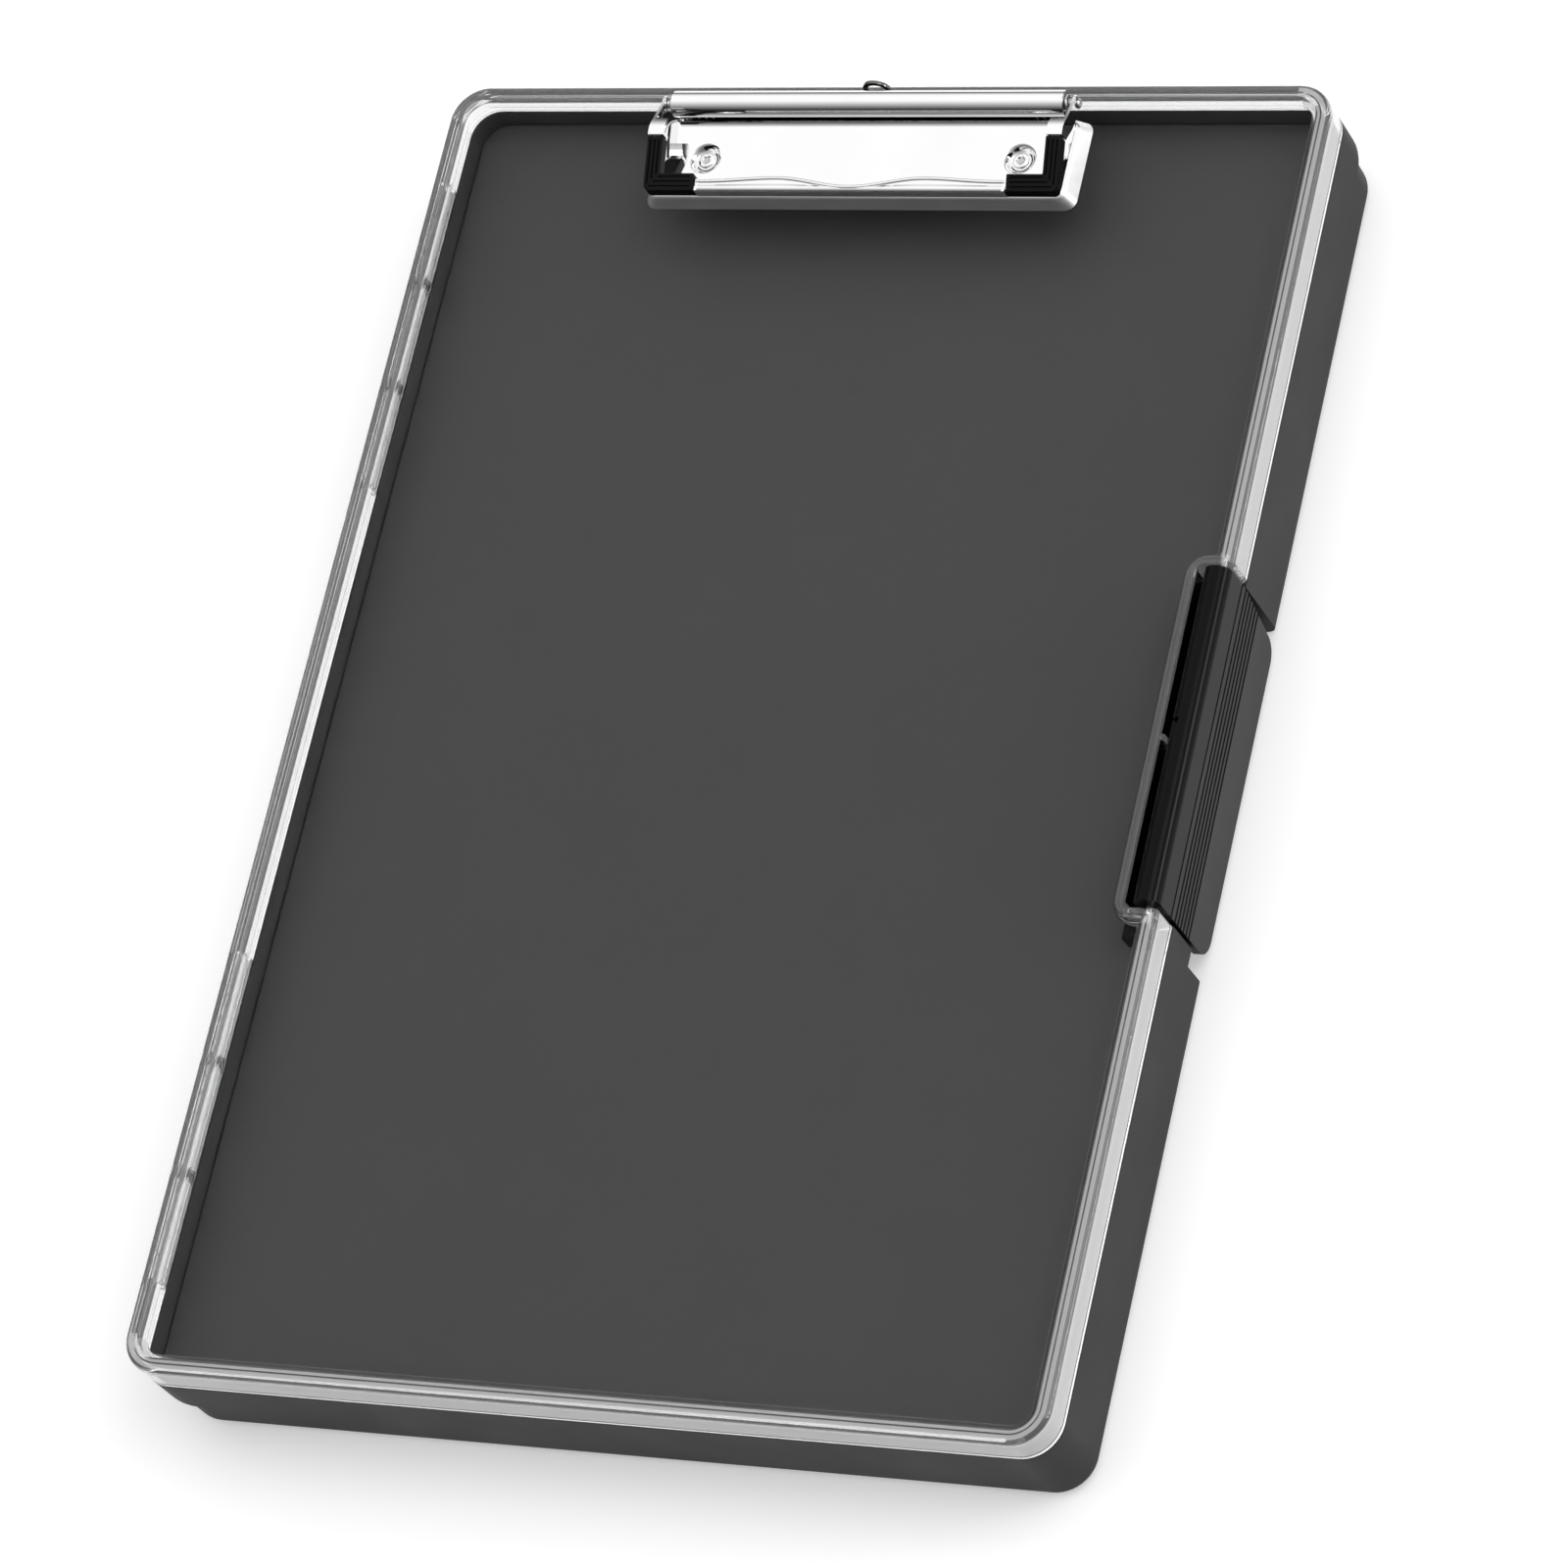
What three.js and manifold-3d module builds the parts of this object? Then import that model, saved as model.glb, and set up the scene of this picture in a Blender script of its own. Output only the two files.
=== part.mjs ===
// A storage clipboard: a flat plastic case with a hinged clear lid, a side latch and a low clip.
// Millimetres. +X runs from the hinge side to the latch side, +Y towards the clip, +Z up off the back.
// The origin is the centre of the case's outline, on the flat back face that the case rests on.
import * as THREE from "three";
import { mergeVertices } from "three/addons/utils/BufferGeometryUtils.js";
import Module from "manifold-3d";

const wasm = await Module();
wasm.setup();

// ---- driving dimensions -------------------------------------------------------------------------

const GAP = 0.3; // running gap between pieces that touch
const WALL = 2; // moulded wall thickness
const SHEET = 0.8; // steel sheet thickness
const FAR = 400; // reach of a cutting block

const CASE = { halfX: 120, halfY: 175, corner: 9.5 };
const SEAM_Z = 24; // where case and lid meet
const STEP_Z = 11; // top of the narrower back tier
const STEP_IN = 3.5; // how far the back tier steps in on the hinge side and the clip side
const BACK_ROUND = 3.2;
const STEP_ROUND = 2;
const LEDGE = { z0: 14.4, z1: 16.4, width: 2.5 }; // shelf that carries the divider deck
const DECK = { z0: LEDGE.z1 + GAP, z1: 18.5, edgeGap: 0.4, corner: 7 };

const LID_Z0 = SEAM_Z + 0.15;
const RIM_TOP_Z = 33.8;
const RIM_ROUND = 1.3;
const PANEL = { top: 32.2, underside: 30.2, halfX: 114.8, halfY: 170.2, corner: 7, slope: 1.5 };

const HINGE = { x: -121.4, z: SEAM_Z, r: 2.4, boreR: 1.3, pinR: 1 };
const HINGE_ZONE = { from: 64, to: 150 }; // distance of each hinge from the middle of the case
const EAR_AT = [92.2, 121.8]; // case ears between the lid's three knuckles
const EAR_WIDTH = 1.8;
const KNUCKLE_GAP = 0.4;
const KNUCKLE_CLEARANCE = 0.35; // round each knuckle, in the other half's wall

const NOTCH = { x: 111, y0: -42.6, y1: 45.2, corner: 2 }; // gap in the lid's edge for the latch
const NOTCH_WALL = { x: 107.5, y0: -47, y1: 49, corner: 5 };
const POCKET = { x: 117.5, y0: -43, y1: 44.4 }; // where the latch lies in the case's side
const RECESS = { x: 114.5, y0: -47.5, y1: 44.4 }; // deeper finger room behind the latch's end

const LATCH = {
  y0: -42.2,
  y1: 43.5,
  tipY1: 40.3,
  z0: 2,
  faceX: 120.5,
  thick: 2.1,
  corner: 5.2,
  barrelR: 3.4,
  barrelZ: 34,
  hubR: 2.5,
  axisX: 116.8,
  axisZ: 31.9,
  boreR: 1.2,
  pinR: 0.9,
  pinIntoWall: [3.6, 3], // how far the pin runs into the lid at its low and high end
};
const RIDGE = { halfY: 12, z0: 15.2, z1: 16.8 }; // bears on the case wall when the latch is shut
const STOP_TAB = { halfX: 1, y0: -0.3, y1: 1.3, z0: 28, z1: 33.5 };
const STOP_RELIEF = { y0: -0.9, y1: 4.2, z0: 35.2, gap: 0.6 };
const GRIP = { top: 25, count: 6, pitch: 1.9, width: 0.9, depth: 0.5 };
const PARTING_GROOVE_Z = 27.2;

const PLATE = { topZ: 36.9, footZ: PANEL.top + GAP, footX: 58.4, topX: 56.2, frontY: 140.4, topFrontY: 141.5 };
const PLATE_REAR = { footY: 165, topY: 163.6 };
const RIVET = { x: 42.75, y: 152.4, holeR: 1.6, shankR: 1.3, headR: 2.6, headZ: 35.5 };
const DIMPLE = { floorZ: 35.2, r: 4.5, floorR: 3.4 };
const BOSS_R = 3.6;
const WASHER_R = 3.8;
const ROLL = { y: 166.5, z: 39.3, r: 3.3, halfX: 53.2 };
const ROD = { r: 1.2, halfX: 56.8 };
const SPRING = { wireR: 0.35, coilR: 1.95, turns: 6, length: 12, outerX: 55 };

const JAW = { frontY: 141.5, halfX: 56.15, frontZ: 40.1, slope: 0.31, depth: 2.9 };
const PAD = { width: 4.25, rearY: 154.75, innerX: 42.4, ribs: 3, ribPitch: 1.15, ribDepth: 0.4 };
const TONGUE = { top: -0.8, bottom: -2, inset: 0.9, width: 2.3 };
const ARM_REAR_Y = 160;
const EAR_R = 2.1;
const WAVE = { endY: 143.7, crestY: 145.3, troughY: 142.9, crestX: 20 };

const TAB = { halfX: 6, z: 34.2, frontY: 149, lipY: 172.4, holeR: 3, holeY: 164.5, topZ: 40.6 };
const TAB_LIP = { archR: 3.7, windowR: 2.5, shoulder: 1.2, taper: 0.8 };
const GUIDE = { y0: 150.5, y1: 161.5, halfX: 7.2, wall: 0.8, lip: 4.8 };

const MATERIALS = {
  case: { color: 0x3b3b3d, roughness: 0.5, metalness: 0 },
  clear: { color: 0xd4d8da, roughness: 0.08, metalness: 0, transparent: true, opacity: 0.4 },
  latch: { color: 0x1d1d1f, roughness: 0.35, metalness: 0 },
  chrome: { color: 0xdadada, roughness: 0.12, metalness: 1 },
  steel: { color: 0x9a9a9c, roughness: 0.35, metalness: 1 },
  rubber: { color: 0x151515, roughness: 0.7, metalness: 0 },
};

// ---- making solids --------------------------------------------------------------------------------

// A closed three.js geometry as a manifold-3d solid.
function solid(geometry) {
  const bare = geometry.clone();
  bare.deleteAttribute("normal");
  bare.deleteAttribute("uv");
  const merged = mergeVertices(bare, 1e-4);
  const vertProperties = new Float32Array(merged.getAttribute("position").array);
  const triVerts = new Uint32Array(merged.index.array);
  return new wasm.Manifold(new wasm.Mesh({ numProp: 3, vertProperties, triVerts }));
}

// A manifold-3d solid as a three.js geometry.
function geometryOf(body) {
  const mesh = body.getMesh();
  const geometry = new THREE.BufferGeometry();
  geometry.setAttribute("position", new THREE.BufferAttribute(mesh.vertProperties, 3));
  geometry.setIndex(new THREE.BufferAttribute(mesh.triVerts, 1));
  geometry.computeVertexNormals();
  return geometry;
}

const union = (bodies) => bodies.reduce((whole, body) => whole.add(body));

function block(x0, x1, y0, y1, z0, z1) {
  const box = new THREE.BoxGeometry(x1 - x0, y1 - y0, z1 - z0);
  return solid(box.translate((x0 + x1) / 2, (y0 + y1) / 2, (z0 + z1) / 2));
}

// A rectangle with round corners.
function roundedRect(x0, x1, y0, y1, r) {
  const outline = new THREE.Shape();
  outline.absarc(x1 - r, y1 - r, r, 0, Math.PI / 2);
  outline.absarc(x0 + r, y1 - r, r, Math.PI / 2, Math.PI);
  outline.absarc(x0 + r, y0 + r, r, Math.PI, 1.5 * Math.PI);
  outline.absarc(x1 - r, y0 + r, r, 1.5 * Math.PI, 2 * Math.PI);
  return outline;
}

// A centred round-cornered rectangle, drawn in by the given margin.
const inset = (outer, margin, corner = Math.max(outer.corner - margin, 0.5)) =>
  roundedRect(-outer.halfX + margin, outer.halfX - margin, -outer.halfY + margin, outer.halfY - margin, corner);

function polygon(points) {
  return new THREE.Shape(points.map(([u, v]) => new THREE.Vector2(u, v)));
}

// An outline in X and Y, raised from z0 to z1.
function prism(outline, z0, z1, curveSegments = 5) {
  const geometry = new THREE.ExtrudeGeometry(outline, { depth: z1 - z0, bevelEnabled: false, curveSegments });
  return solid(geometry.translate(0, 0, z0));
}

// The same with its lower outer edge rounded by r.
function roundBottomed(outline, z0, z1, r) {
  const bevel = { bevelEnabled: true, bevelThickness: r, bevelSize: r, bevelOffset: -r, bevelSegments: 3 };
  const geometry = new THREE.ExtrudeGeometry(outline, { depth: z1 - z0, curveSegments: 5, ...bevel });
  const tall = solid(geometry.translate(0, 0, z0 + r));
  return tall.subtract(block(-FAR, FAR, -FAR, FAR, z1, FAR));
}

// The same with its upper outer edge rounded by r.
function roundTopped(outline, z0, z1, r) {
  const bevel = { bevelEnabled: true, bevelThickness: r, bevelSize: r, bevelOffset: -r, bevelSegments: 3 };
  const geometry = new THREE.ExtrudeGeometry(outline, { depth: z1 - z0, curveSegments: 5, ...bevel });
  const tall = solid(geometry.translate(0, 0, z0 - r));
  return tall.subtract(block(-FAR, FAR, -FAR, FAR, -FAR, z0));
}

// An outline in X and Z, run along Y from y0 to y1.
function alongY(outline, y0, y1, curveSegments = 6) {
  const geometry = new THREE.ExtrudeGeometry(outline, { depth: y1 - y0, bevelEnabled: false, curveSegments });
  return solid(geometry.rotateX(Math.PI / 2).translate(0, y1, 0));
}

// An outline in Y and Z, run along X from x0 to x1.
function alongX(outline, x0, x1, curveSegments = 6) {
  const geometry = new THREE.ExtrudeGeometry(outline, { depth: x1 - x0, bevelEnabled: false, curveSegments });
  const X = new THREE.Vector3(1, 0, 0);
  const Y = new THREE.Vector3(0, 1, 0);
  const Z = new THREE.Vector3(0, 0, 1);
  geometry.applyMatrix4(new THREE.Matrix4().makeBasis(Y, Z, X));
  return solid(geometry.translate(x0, 0, 0));
}

function rodAlongY(x, z, r, y0, y1, sides = 16) {
  const rod = new THREE.CylinderGeometry(r, r, y1 - y0, sides);
  return solid(rod.translate(x, (y0 + y1) / 2, z));
}

function rodAlongX(y, z, r, x0, x1, sides = 16) {
  const rod = new THREE.CylinderGeometry(r, r, x1 - x0, sides).rotateZ(Math.PI / 2);
  return solid(rod.translate((x0 + x1) / 2, y, z));
}

function rodAlongZ(x, y, r, z0, z1, sides = 16) {
  const rod = new THREE.CylinderGeometry(r, r, z1 - z0, sides).rotateX(Math.PI / 2);
  return solid(rod.translate(x, y, (z0 + z1) / 2));
}

// A turned piece standing on Z: the profile runs from the axis round to the axis again.
function turned(profile, x, y, sides = 20) {
  const points = profile.map(([r, z]) => new THREE.Vector2(r, z));
  return solid(new THREE.LatheGeometry(points, sides).rotateX(Math.PI / 2).translate(x, y, 0));
}

const mirrored = (body) => body.mirror([1, 0, 0]);

// ---- case and divider deck ------------------------------------------------------------------------

// The two hinges, one each side of the middle: calls make(low, high) on the span it is given.
function bothHinges(from, to, make) {
  return [make(from, to), make(-to, -from)];
}

const earSpans = EAR_AT.map((at) => [at - EAR_WIDTH / 2, at + EAR_WIDTH / 2]);
const knuckleSpans = [
  [HINGE_ZONE.from, earSpans[0][0] - KNUCKLE_GAP],
  [earSpans[0][1] + KNUCKLE_GAP, earSpans[1][0] - KNUCKLE_GAP],
  [earSpans[1][1] + KNUCKLE_GAP, HINGE_ZONE.to],
];

// Clearance that the knuckles of one half need in the other half's wall.
function hingeClearance(spans) {
  const groove = (y0, y1) =>
    rodAlongY(HINGE.x, HINGE.z, HINGE.r + KNUCKLE_CLEARANCE, y0 - KNUCKLE_GAP, y1 + KNUCKLE_GAP, 20);
  return union(spans.flatMap(([from, to]) => bothHinges(from, to, groove)));
}

function hingeBores() {
  const bore = (y0, y1) => rodAlongY(HINGE.x, HINGE.z, HINGE.boreR, y0 - 1, y1 + 1, 12);
  return union(bothHinges(HINGE_ZONE.from, HINGE_ZONE.to, bore));
}

// Knuckles with the web that joins them to a wall; webZ gives the web's bottom and top.
function knuckles(spans, webZ) {
  const knuckle = (y0, y1) => {
    const barrel = rodAlongY(HINGE.x, HINGE.z, HINGE.r, y0, y1, 20);
    const web = block(HINGE.x, -CASE.halfX + 1.2, y0, y1, webZ[0], webZ[1]);
    return barrel.add(web);
  };
  return union(spans.flatMap(([from, to]) => bothHinges(from, to, knuckle)));
}

function baseTray() {
  const left = -CASE.halfX + STEP_IN;
  const top = CASE.halfY - STEP_IN;
  const right = CASE.halfX;
  const bottom = -CASE.halfY;
  const corner = CASE.corner;
  const upperTier = roundBottomed(inset(CASE, 0), STEP_Z, SEAM_Z, STEP_ROUND);
  const backTier = roundBottomed(
    roundedRect(left, right, bottom, top, corner),
    0,
    STEP_Z + STEP_ROUND + 1,
    BACK_ROUND,
  );
  const room = (more, z0, z1) =>
    prism(roundedRect(left + WALL, right - more, bottom + more, top - WALL, corner - WALL), z0, z1);
  const shell = upperTier
    .add(backTier)
    .subtract(room(WALL, WALL, LEDGE.z0))
    .subtract(room(WALL + LEDGE.width, LEDGE.z0 - 1, LEDGE.z1 + 1))
    .subtract(prism(inset(CASE, WALL), LEDGE.z1, SEAM_Z + 1));

  // The shelf under the lid's notch is cored out from below; the pocket wall runs down to the floor.
  const inner = right - WALL / 2;
  const shelfTop = SEAM_Z - GAP;
  const shelfX = NOTCH_WALL.x + GAP;
  const shelf = block(shelfX, inner, NOTCH_WALL.y0 + GAP, NOTCH_WALL.y1 - GAP, DECK.z1 + GAP, shelfTop);
  const core = block(
    shelfX + WALL,
    inner,
    NOTCH_WALL.y0 + GAP + WALL,
    NOTCH_WALL.y1 - GAP - WALL,
    0,
    shelfTop - WALL,
  );
  const pocketWall = block(POCKET.x - WALL, inner, POCKET.y0 - WALL, POCKET.y1 + WALL, STEP_Z, shelfTop);
  const recessWall = block(RECESS.x - WALL, inner, RECESS.y0 - WALL, RECESS.y1 + WALL, 1, STEP_Z + WALL);
  const pocket = block(POCKET.x, FAR, POCKET.y0, POCKET.y1, STEP_Z - 1, FAR);
  const recess = block(RECESS.x, FAR, RECESS.y0, RECESS.y1, -FAR, STEP_Z);

  return shell
    .add(shelf.subtract(core))
    .add(pocketWall)
    .add(recessWall)
    .subtract(pocket)
    .subtract(recess)
    .subtract(hingeClearance(knuckleSpans))
    .add(knuckles(earSpans, [HINGE.z - HINGE.r, SEAM_Z - 0.15]))
    .subtract(hingeBores());
}

function dividerDeck() {
  const margin = WALL + DECK.edgeGap;
  const plate = prism(inset(CASE, margin, DECK.corner), DECK.z0, DECK.z1);
  const aroundPocket = block(
    POCKET.x - WALL - GAP,
    FAR,
    POCKET.y0 - WALL - GAP,
    POCKET.y1 + WALL + GAP,
    0,
    FAR,
  );
  return plate.subtract(aroundPocket);
}

// ---- clear lid --------------------------------------------------------------------------------------

function clearLid() {
  const body = roundTopped(inset(CASE, 0), LID_Z0, RIM_TOP_Z, RIM_ROUND);
  const hollow = prism(inset(CASE, WALL), 0, PANEL.underside);

  // The sunk panel: its edge slopes up to the rim.
  const slope = { bevelThickness: RIM_TOP_Z - PANEL.top, bevelSize: PANEL.slope, bevelSegments: 1 };
  const sunkOutline = inset(PANEL, 0);
  const sunkGeometry = new THREE.ExtrudeGeometry(sunkOutline, {
    depth: 5,
    bevelEnabled: true,
    curveSegments: 5,
    ...slope,
  });
  const sunk = solid(sunkGeometry.translate(0, 0, RIM_TOP_Z));

  const wallOutline = roundedRect(NOTCH_WALL.x, FAR, NOTCH_WALL.y0, NOTCH_WALL.y1, NOTCH_WALL.corner);
  const notchWall = prism(wallOutline, LID_Z0, RIM_TOP_Z).subtract(
    block(CASE.halfX - WALL / 2, 2 * FAR, -FAR, FAR, 0, FAR),
  );
  const notch = prism(roundedRect(NOTCH.x, FAR, NOTCH.y0, NOTCH.y1, NOTCH.corner), 0, FAR);
  const tab = STOP_TAB;
  const stopTab = block(NOTCH.x - tab.halfX, NOTCH.x + tab.halfX, tab.y0, tab.y1, tab.z0, tab.z1);
  const [boreLow, boreHigh] = LATCH.pinIntoWall.map((length) => length + GAP);
  const latchBores = rodAlongY(
    LATCH.axisX,
    LATCH.axisZ,
    LATCH.boreR,
    NOTCH.y0 - boreLow,
    NOTCH.y1 + boreHigh,
    12,
  );

  const besideBoth = (make) => union([make(-RIVET.x), make(RIVET.x)]);
  const bosses = besideBoth((x) =>
    rodAlongZ(x, RIVET.y, BOSS_R, PANEL.underside + 0.5, DIMPLE.floorZ - SHEET - GAP, 20),
  );
  const rivetHoles = besideBoth((x) => rodAlongZ(x, RIVET.y, RIVET.holeR, 0, FAR, 12));

  return body
    .subtract(hollow)
    .subtract(sunk)
    .add(notchWall)
    .subtract(notch)
    .add(stopTab)
    .subtract(latchBores)
    .add(bosses)
    .subtract(rivetHoles)
    .subtract(hingeClearance(earSpans))
    .add(knuckles(knuckleSpans, [LID_Z0, HINGE.z + HINGE.r]))
    .subtract(hingeBores());
}

function hingePin(y0, y1) {
  return rodAlongY(HINGE.x, HINGE.z, HINGE.pinR, y0 + 0.5, y1 - 0.5, 12);
}

// ---- latch -------------------------------------------------------------------------------------------

// The latch's section across its length: a round barrel over a hub for the pin, and a ribbed flap.
function latchSection() {
  const { faceX, thick, z0, barrelZ } = LATCH;
  const outline = new THREE.Shape();
  outline.moveTo(faceX - thick, z0);
  outline.lineTo(faceX, z0);
  for (let i = GRIP.count - 1; i >= 0; i--) {
    const grooveTop = GRIP.top - i * GRIP.pitch;
    outline.lineTo(faceX, grooveTop - GRIP.width);
    outline.lineTo(faceX - GRIP.depth, grooveTop - GRIP.width / 2);
    outline.lineTo(faceX, grooveTop);
  }
  outline.lineTo(faceX, PARTING_GROOVE_Z - 0.4);
  outline.lineTo(faceX - GRIP.depth, PARTING_GROOVE_Z);
  outline.lineTo(faceX, PARTING_GROOVE_Z + 0.4);
  outline.lineTo(faceX, barrelZ);
  outline.lineTo(faceX - thick, barrelZ);
  outline.closePath();
  return outline;
}

function latchLever() {
  const { y0, y1, tipY1, z0, faceX, barrelR, barrelZ, corner } = LATCH;
  const flap = alongY(latchSection(), y0, y1);
  const barrel = rodAlongY(faceX - barrelR, barrelZ, barrelR, y0, y1, 24);
  const hub = rodAlongY(LATCH.axisX, LATCH.axisZ, LATCH.hubR, y0, y1, 20);

  // The flap seen from the side: its clip-side end leans in towards the tip, and the tip is rounded.
  const side = new THREE.Shape();
  side.moveTo(y0, FAR);
  side.lineTo(y0, z0 + corner);
  side.absarc(y0 + corner, z0 + corner, corner, Math.PI, 1.5 * Math.PI);
  side.absarc(tipY1 - corner, z0 + corner, corner, 1.5 * Math.PI, 2 * Math.PI);
  side.lineTo(y1, SEAM_Z);
  side.lineTo(y1, FAR);
  side.closePath();

  const ridge = block(POCKET.x + GAP, faceX - 1, -RIDGE.halfY, RIDGE.halfY, RIDGE.z0, RIDGE.z1);
  const reliefX = LATCH.axisX - STOP_RELIEF.gap;
  const stopRelief = block(NOTCH.x, reliefX, STOP_RELIEF.y0, STOP_RELIEF.y1, STOP_RELIEF.z0, FAR);
  const bore = rodAlongY(LATCH.axisX, LATCH.axisZ, LATCH.boreR, y0 - 1, y1 + 1, 12);
  return union([flap, barrel, hub, ridge])
    .intersect(alongX(side, 0, FAR))
    .subtract(stopRelief)
    .subtract(bore);
}

function latchPin() {
  const [low, high] = LATCH.pinIntoWall;
  return rodAlongY(LATCH.axisX, LATCH.axisZ, LATCH.pinR, NOTCH.y0 - low, NOTCH.y1 + high, 12);
}

// ---- clip ----------------------------------------------------------------------------------------------

// A round-cornered plate whose sides lean in from the foot to the top.
function taperedPlate(margin, footZ, topZ) {
  const footX = PLATE.footX - margin;
  const footFront = PLATE.frontY + margin;
  const footRear = PLATE_REAR.footY - margin;
  const topHalfX = PLATE.topX - margin;
  const topFront = PLATE.topFrontY + margin;
  const topRear = PLATE_REAR.topY - margin;
  const outline = roundedRect(-footX, footX, footFront, footRear, 3);
  const geometry = new THREE.ExtrudeGeometry(outline, {
    depth: topZ - footZ,
    bevelEnabled: false,
    curveSegments: 4,
  });
  geometry.translate(0, 0, footZ);
  const position = geometry.getAttribute("position");
  const scaleX = topHalfX / footX;
  const scaleY = (topRear - topFront) / (footRear - footFront);
  for (let i = 0; i < position.count; i++) {
    if (position.getZ(i) < topZ - 0.01) continue;
    position.setX(i, position.getX(i) * scaleX);
    position.setY(i, topFront + (position.getY(i) - footFront) * scaleY);
  }
  return solid(geometry);
}

function clipBasePlate() {
  const outer = taperedPlate(0, PLATE.footZ, PLATE.topZ);
  const inner = taperedPlate(SHEET, PLATE.footZ - 1, PLATE.topZ - SHEET);
  const rearOpening = block(-ROLL.halfX + 1, ROLL.halfX - 1, PLATE_REAR.topY - 2.5, FAR, 0, PLATE.topZ - SHEET);
  const lead = block(-ROLL.halfX, ROLL.halfX, PLATE_REAR.topY - 2, ROLL.y, PLATE.topZ - SHEET, PLATE.topZ);
  const roll = rodAlongX(ROLL.y, ROLL.z, ROLL.r, -ROLL.halfX, ROLL.halfX, 24);
  const rollBore = rodAlongX(ROLL.y, ROLL.z, ROLL.r - SHEET, -FAR, FAR, 24);

  const dimple = (x, r, floorR, rise) =>
    turned(
      [
        [0, DIMPLE.floorZ - rise],
        [floorR, DIMPLE.floorZ - rise],
        [r, PLATE.topZ - rise],
        [r, PLATE.topZ + 1],
        [0, PLATE.topZ + 1],
      ],
      x,
      RIVET.y,
    );
  const besideBoth = (make) => union([make(-RIVET.x), make(RIVET.x)]);
  const cups = besideBoth((x) => dimple(x, DIMPLE.r + 0.4, DIMPLE.floorR + 0.4, SHEET));
  const hollows = besideBoth((x) => dimple(x, DIMPLE.r, DIMPLE.floorR, 0));
  const holes = besideBoth((x) => rodAlongZ(x, RIVET.y, RIVET.holeR, 0, FAR, 12));
  const aboveTop = block(-FAR, FAR, -FAR, PLATE_REAR.topY - 2.5, PLATE.topZ, FAR);

  return outer
    .subtract(inner)
    .subtract(rearOpening)
    .add(cups)
    .subtract(aboveTop)
    .subtract(hollows)
    .subtract(holes)
    .add(lead)
    .add(roll)
    .subtract(rollBore);
}

function rivet(x) {
  const tailZ = PANEL.underside - GAP - SHEET - GAP;
  return turned(
    [
      [0, RIVET.headZ + 0.3],
      [0.9, RIVET.headZ + 0.3],
      [1.2, RIVET.headZ + 0.9],
      [2, RIVET.headZ + 0.8],
      [RIVET.headR, RIVET.headZ],
      [RIVET.shankR, RIVET.headZ],
      [RIVET.shankR, tailZ],
      [2.3, tailZ],
      [2.1, tailZ - 0.7],
      [0, tailZ - 0.9],
    ].reverse(),
    x,
    RIVET.y,
    16,
  );
}

function rivetWasher(x) {
  const top = PANEL.underside - GAP;
  const disc = rodAlongZ(x, RIVET.y, WASHER_R, top - SHEET, top, 20);
  return disc.subtract(rodAlongZ(x, RIVET.y, RIVET.holeR, 0, FAR, 12));
}

function jawPivotRod() {
  return rodAlongX(ROLL.y, ROLL.z, ROD.r, -ROD.halfX, ROD.halfX, 12);
}

class Coil extends THREE.Curve {
  getPoint(t, target = new THREE.Vector3()) {
    const turn = 2 * Math.PI * SPRING.turns * t;
    const x = SPRING.outerX - SPRING.length * (1 - t);
    return target.set(x, ROLL.y + SPRING.coilR * Math.cos(turn), ROLL.z + SPRING.coilR * Math.sin(turn));
  }
}

// One torsion coil round the rod, at the end of the roll.
function jawSpring() {
  const section = new THREE.Shape();
  section.absarc(0, 0, SPRING.wireR, 0, 2 * Math.PI);
  const geometry = new THREE.ExtrudeGeometry(section, {
    steps: SPRING.turns * 12,
    extrudePath: new Coil(),
    curveSegments: 6,
    bevelEnabled: false,
  });
  return solid(geometry);
}

// Pieces of the jaw are drawn flat, top at zero, then leaned up towards the rear.
function leaned(body) {
  const { frontY, frontZ, slope } = JAW;
  return body.warp((point) => {
    point[2] += frontZ + (point[1] - frontY) * slope;
  });
}

// An L in plan, along the front edge and back along one arm of the jaw, on the +X side.
function cornerL(margin, width, rearY, innerX, rounded) {
  const outerX = JAW.halfX - margin;
  const frontY = JAW.frontY + margin;
  const r = rounded ? 1.5 : 0.3;
  const outline = new THREE.Shape();
  outline.moveTo(innerX, frontY);
  outline.absarc(outerX - r, frontY + r, r, 1.5 * Math.PI, 2 * Math.PI);
  outline.lineTo(outerX, rearY);
  outline.lineTo(outerX - width, rearY);
  outline.lineTo(outerX - width, frontY + width);
  outline.lineTo(innerX, frontY + width);
  outline.closePath();
  return outline;
}

function cornerPad() {
  const body = prism(cornerL(0, PAD.width, PAD.rearY, PAD.innerX, true), -JAW.depth, 0, 3);
  const slot = cornerL(
    TONGUE.inset - GAP,
    TONGUE.width + 2 * GAP,
    PAD.rearY + 1,
    PAD.innerX - 1,
    false,
  );
  const channel = prism(slot, TONGUE.bottom - GAP, TONGUE.top + GAP, 3);
  const grooves = [];
  for (let i = 0; i < PAD.ribs; i++) {
    const along = 1 + i * PAD.ribPitch;
    const x = JAW.halfX - along;
    const y = JAW.frontY + along;
    grooves.push(block(x - 0.2, x + 0.2, y + 0.6, PAD.rearY - 1, -PAD.ribDepth, 1));
    grooves.push(block(PAD.innerX + 1, x - 0.6, y - 0.2, y + 0.2, -PAD.ribDepth, 1));
  }
  return leaned(body.subtract(channel).subtract(union(grooves)));
}

// The front bar's wavy rear edge.
function waveY(x) {
  const { crestX, crestY, troughY, endY } = WAVE;
  const reach = Math.abs(x) / crestX;
  if (reach < 1) return troughY + (crestY - troughY) * (1 - Math.cos(Math.PI * reach)) / 2;
  return endY + (crestY - endY) * (1 + Math.cos(Math.PI * Math.min(reach - 1, 1))) / 2;
}

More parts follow.
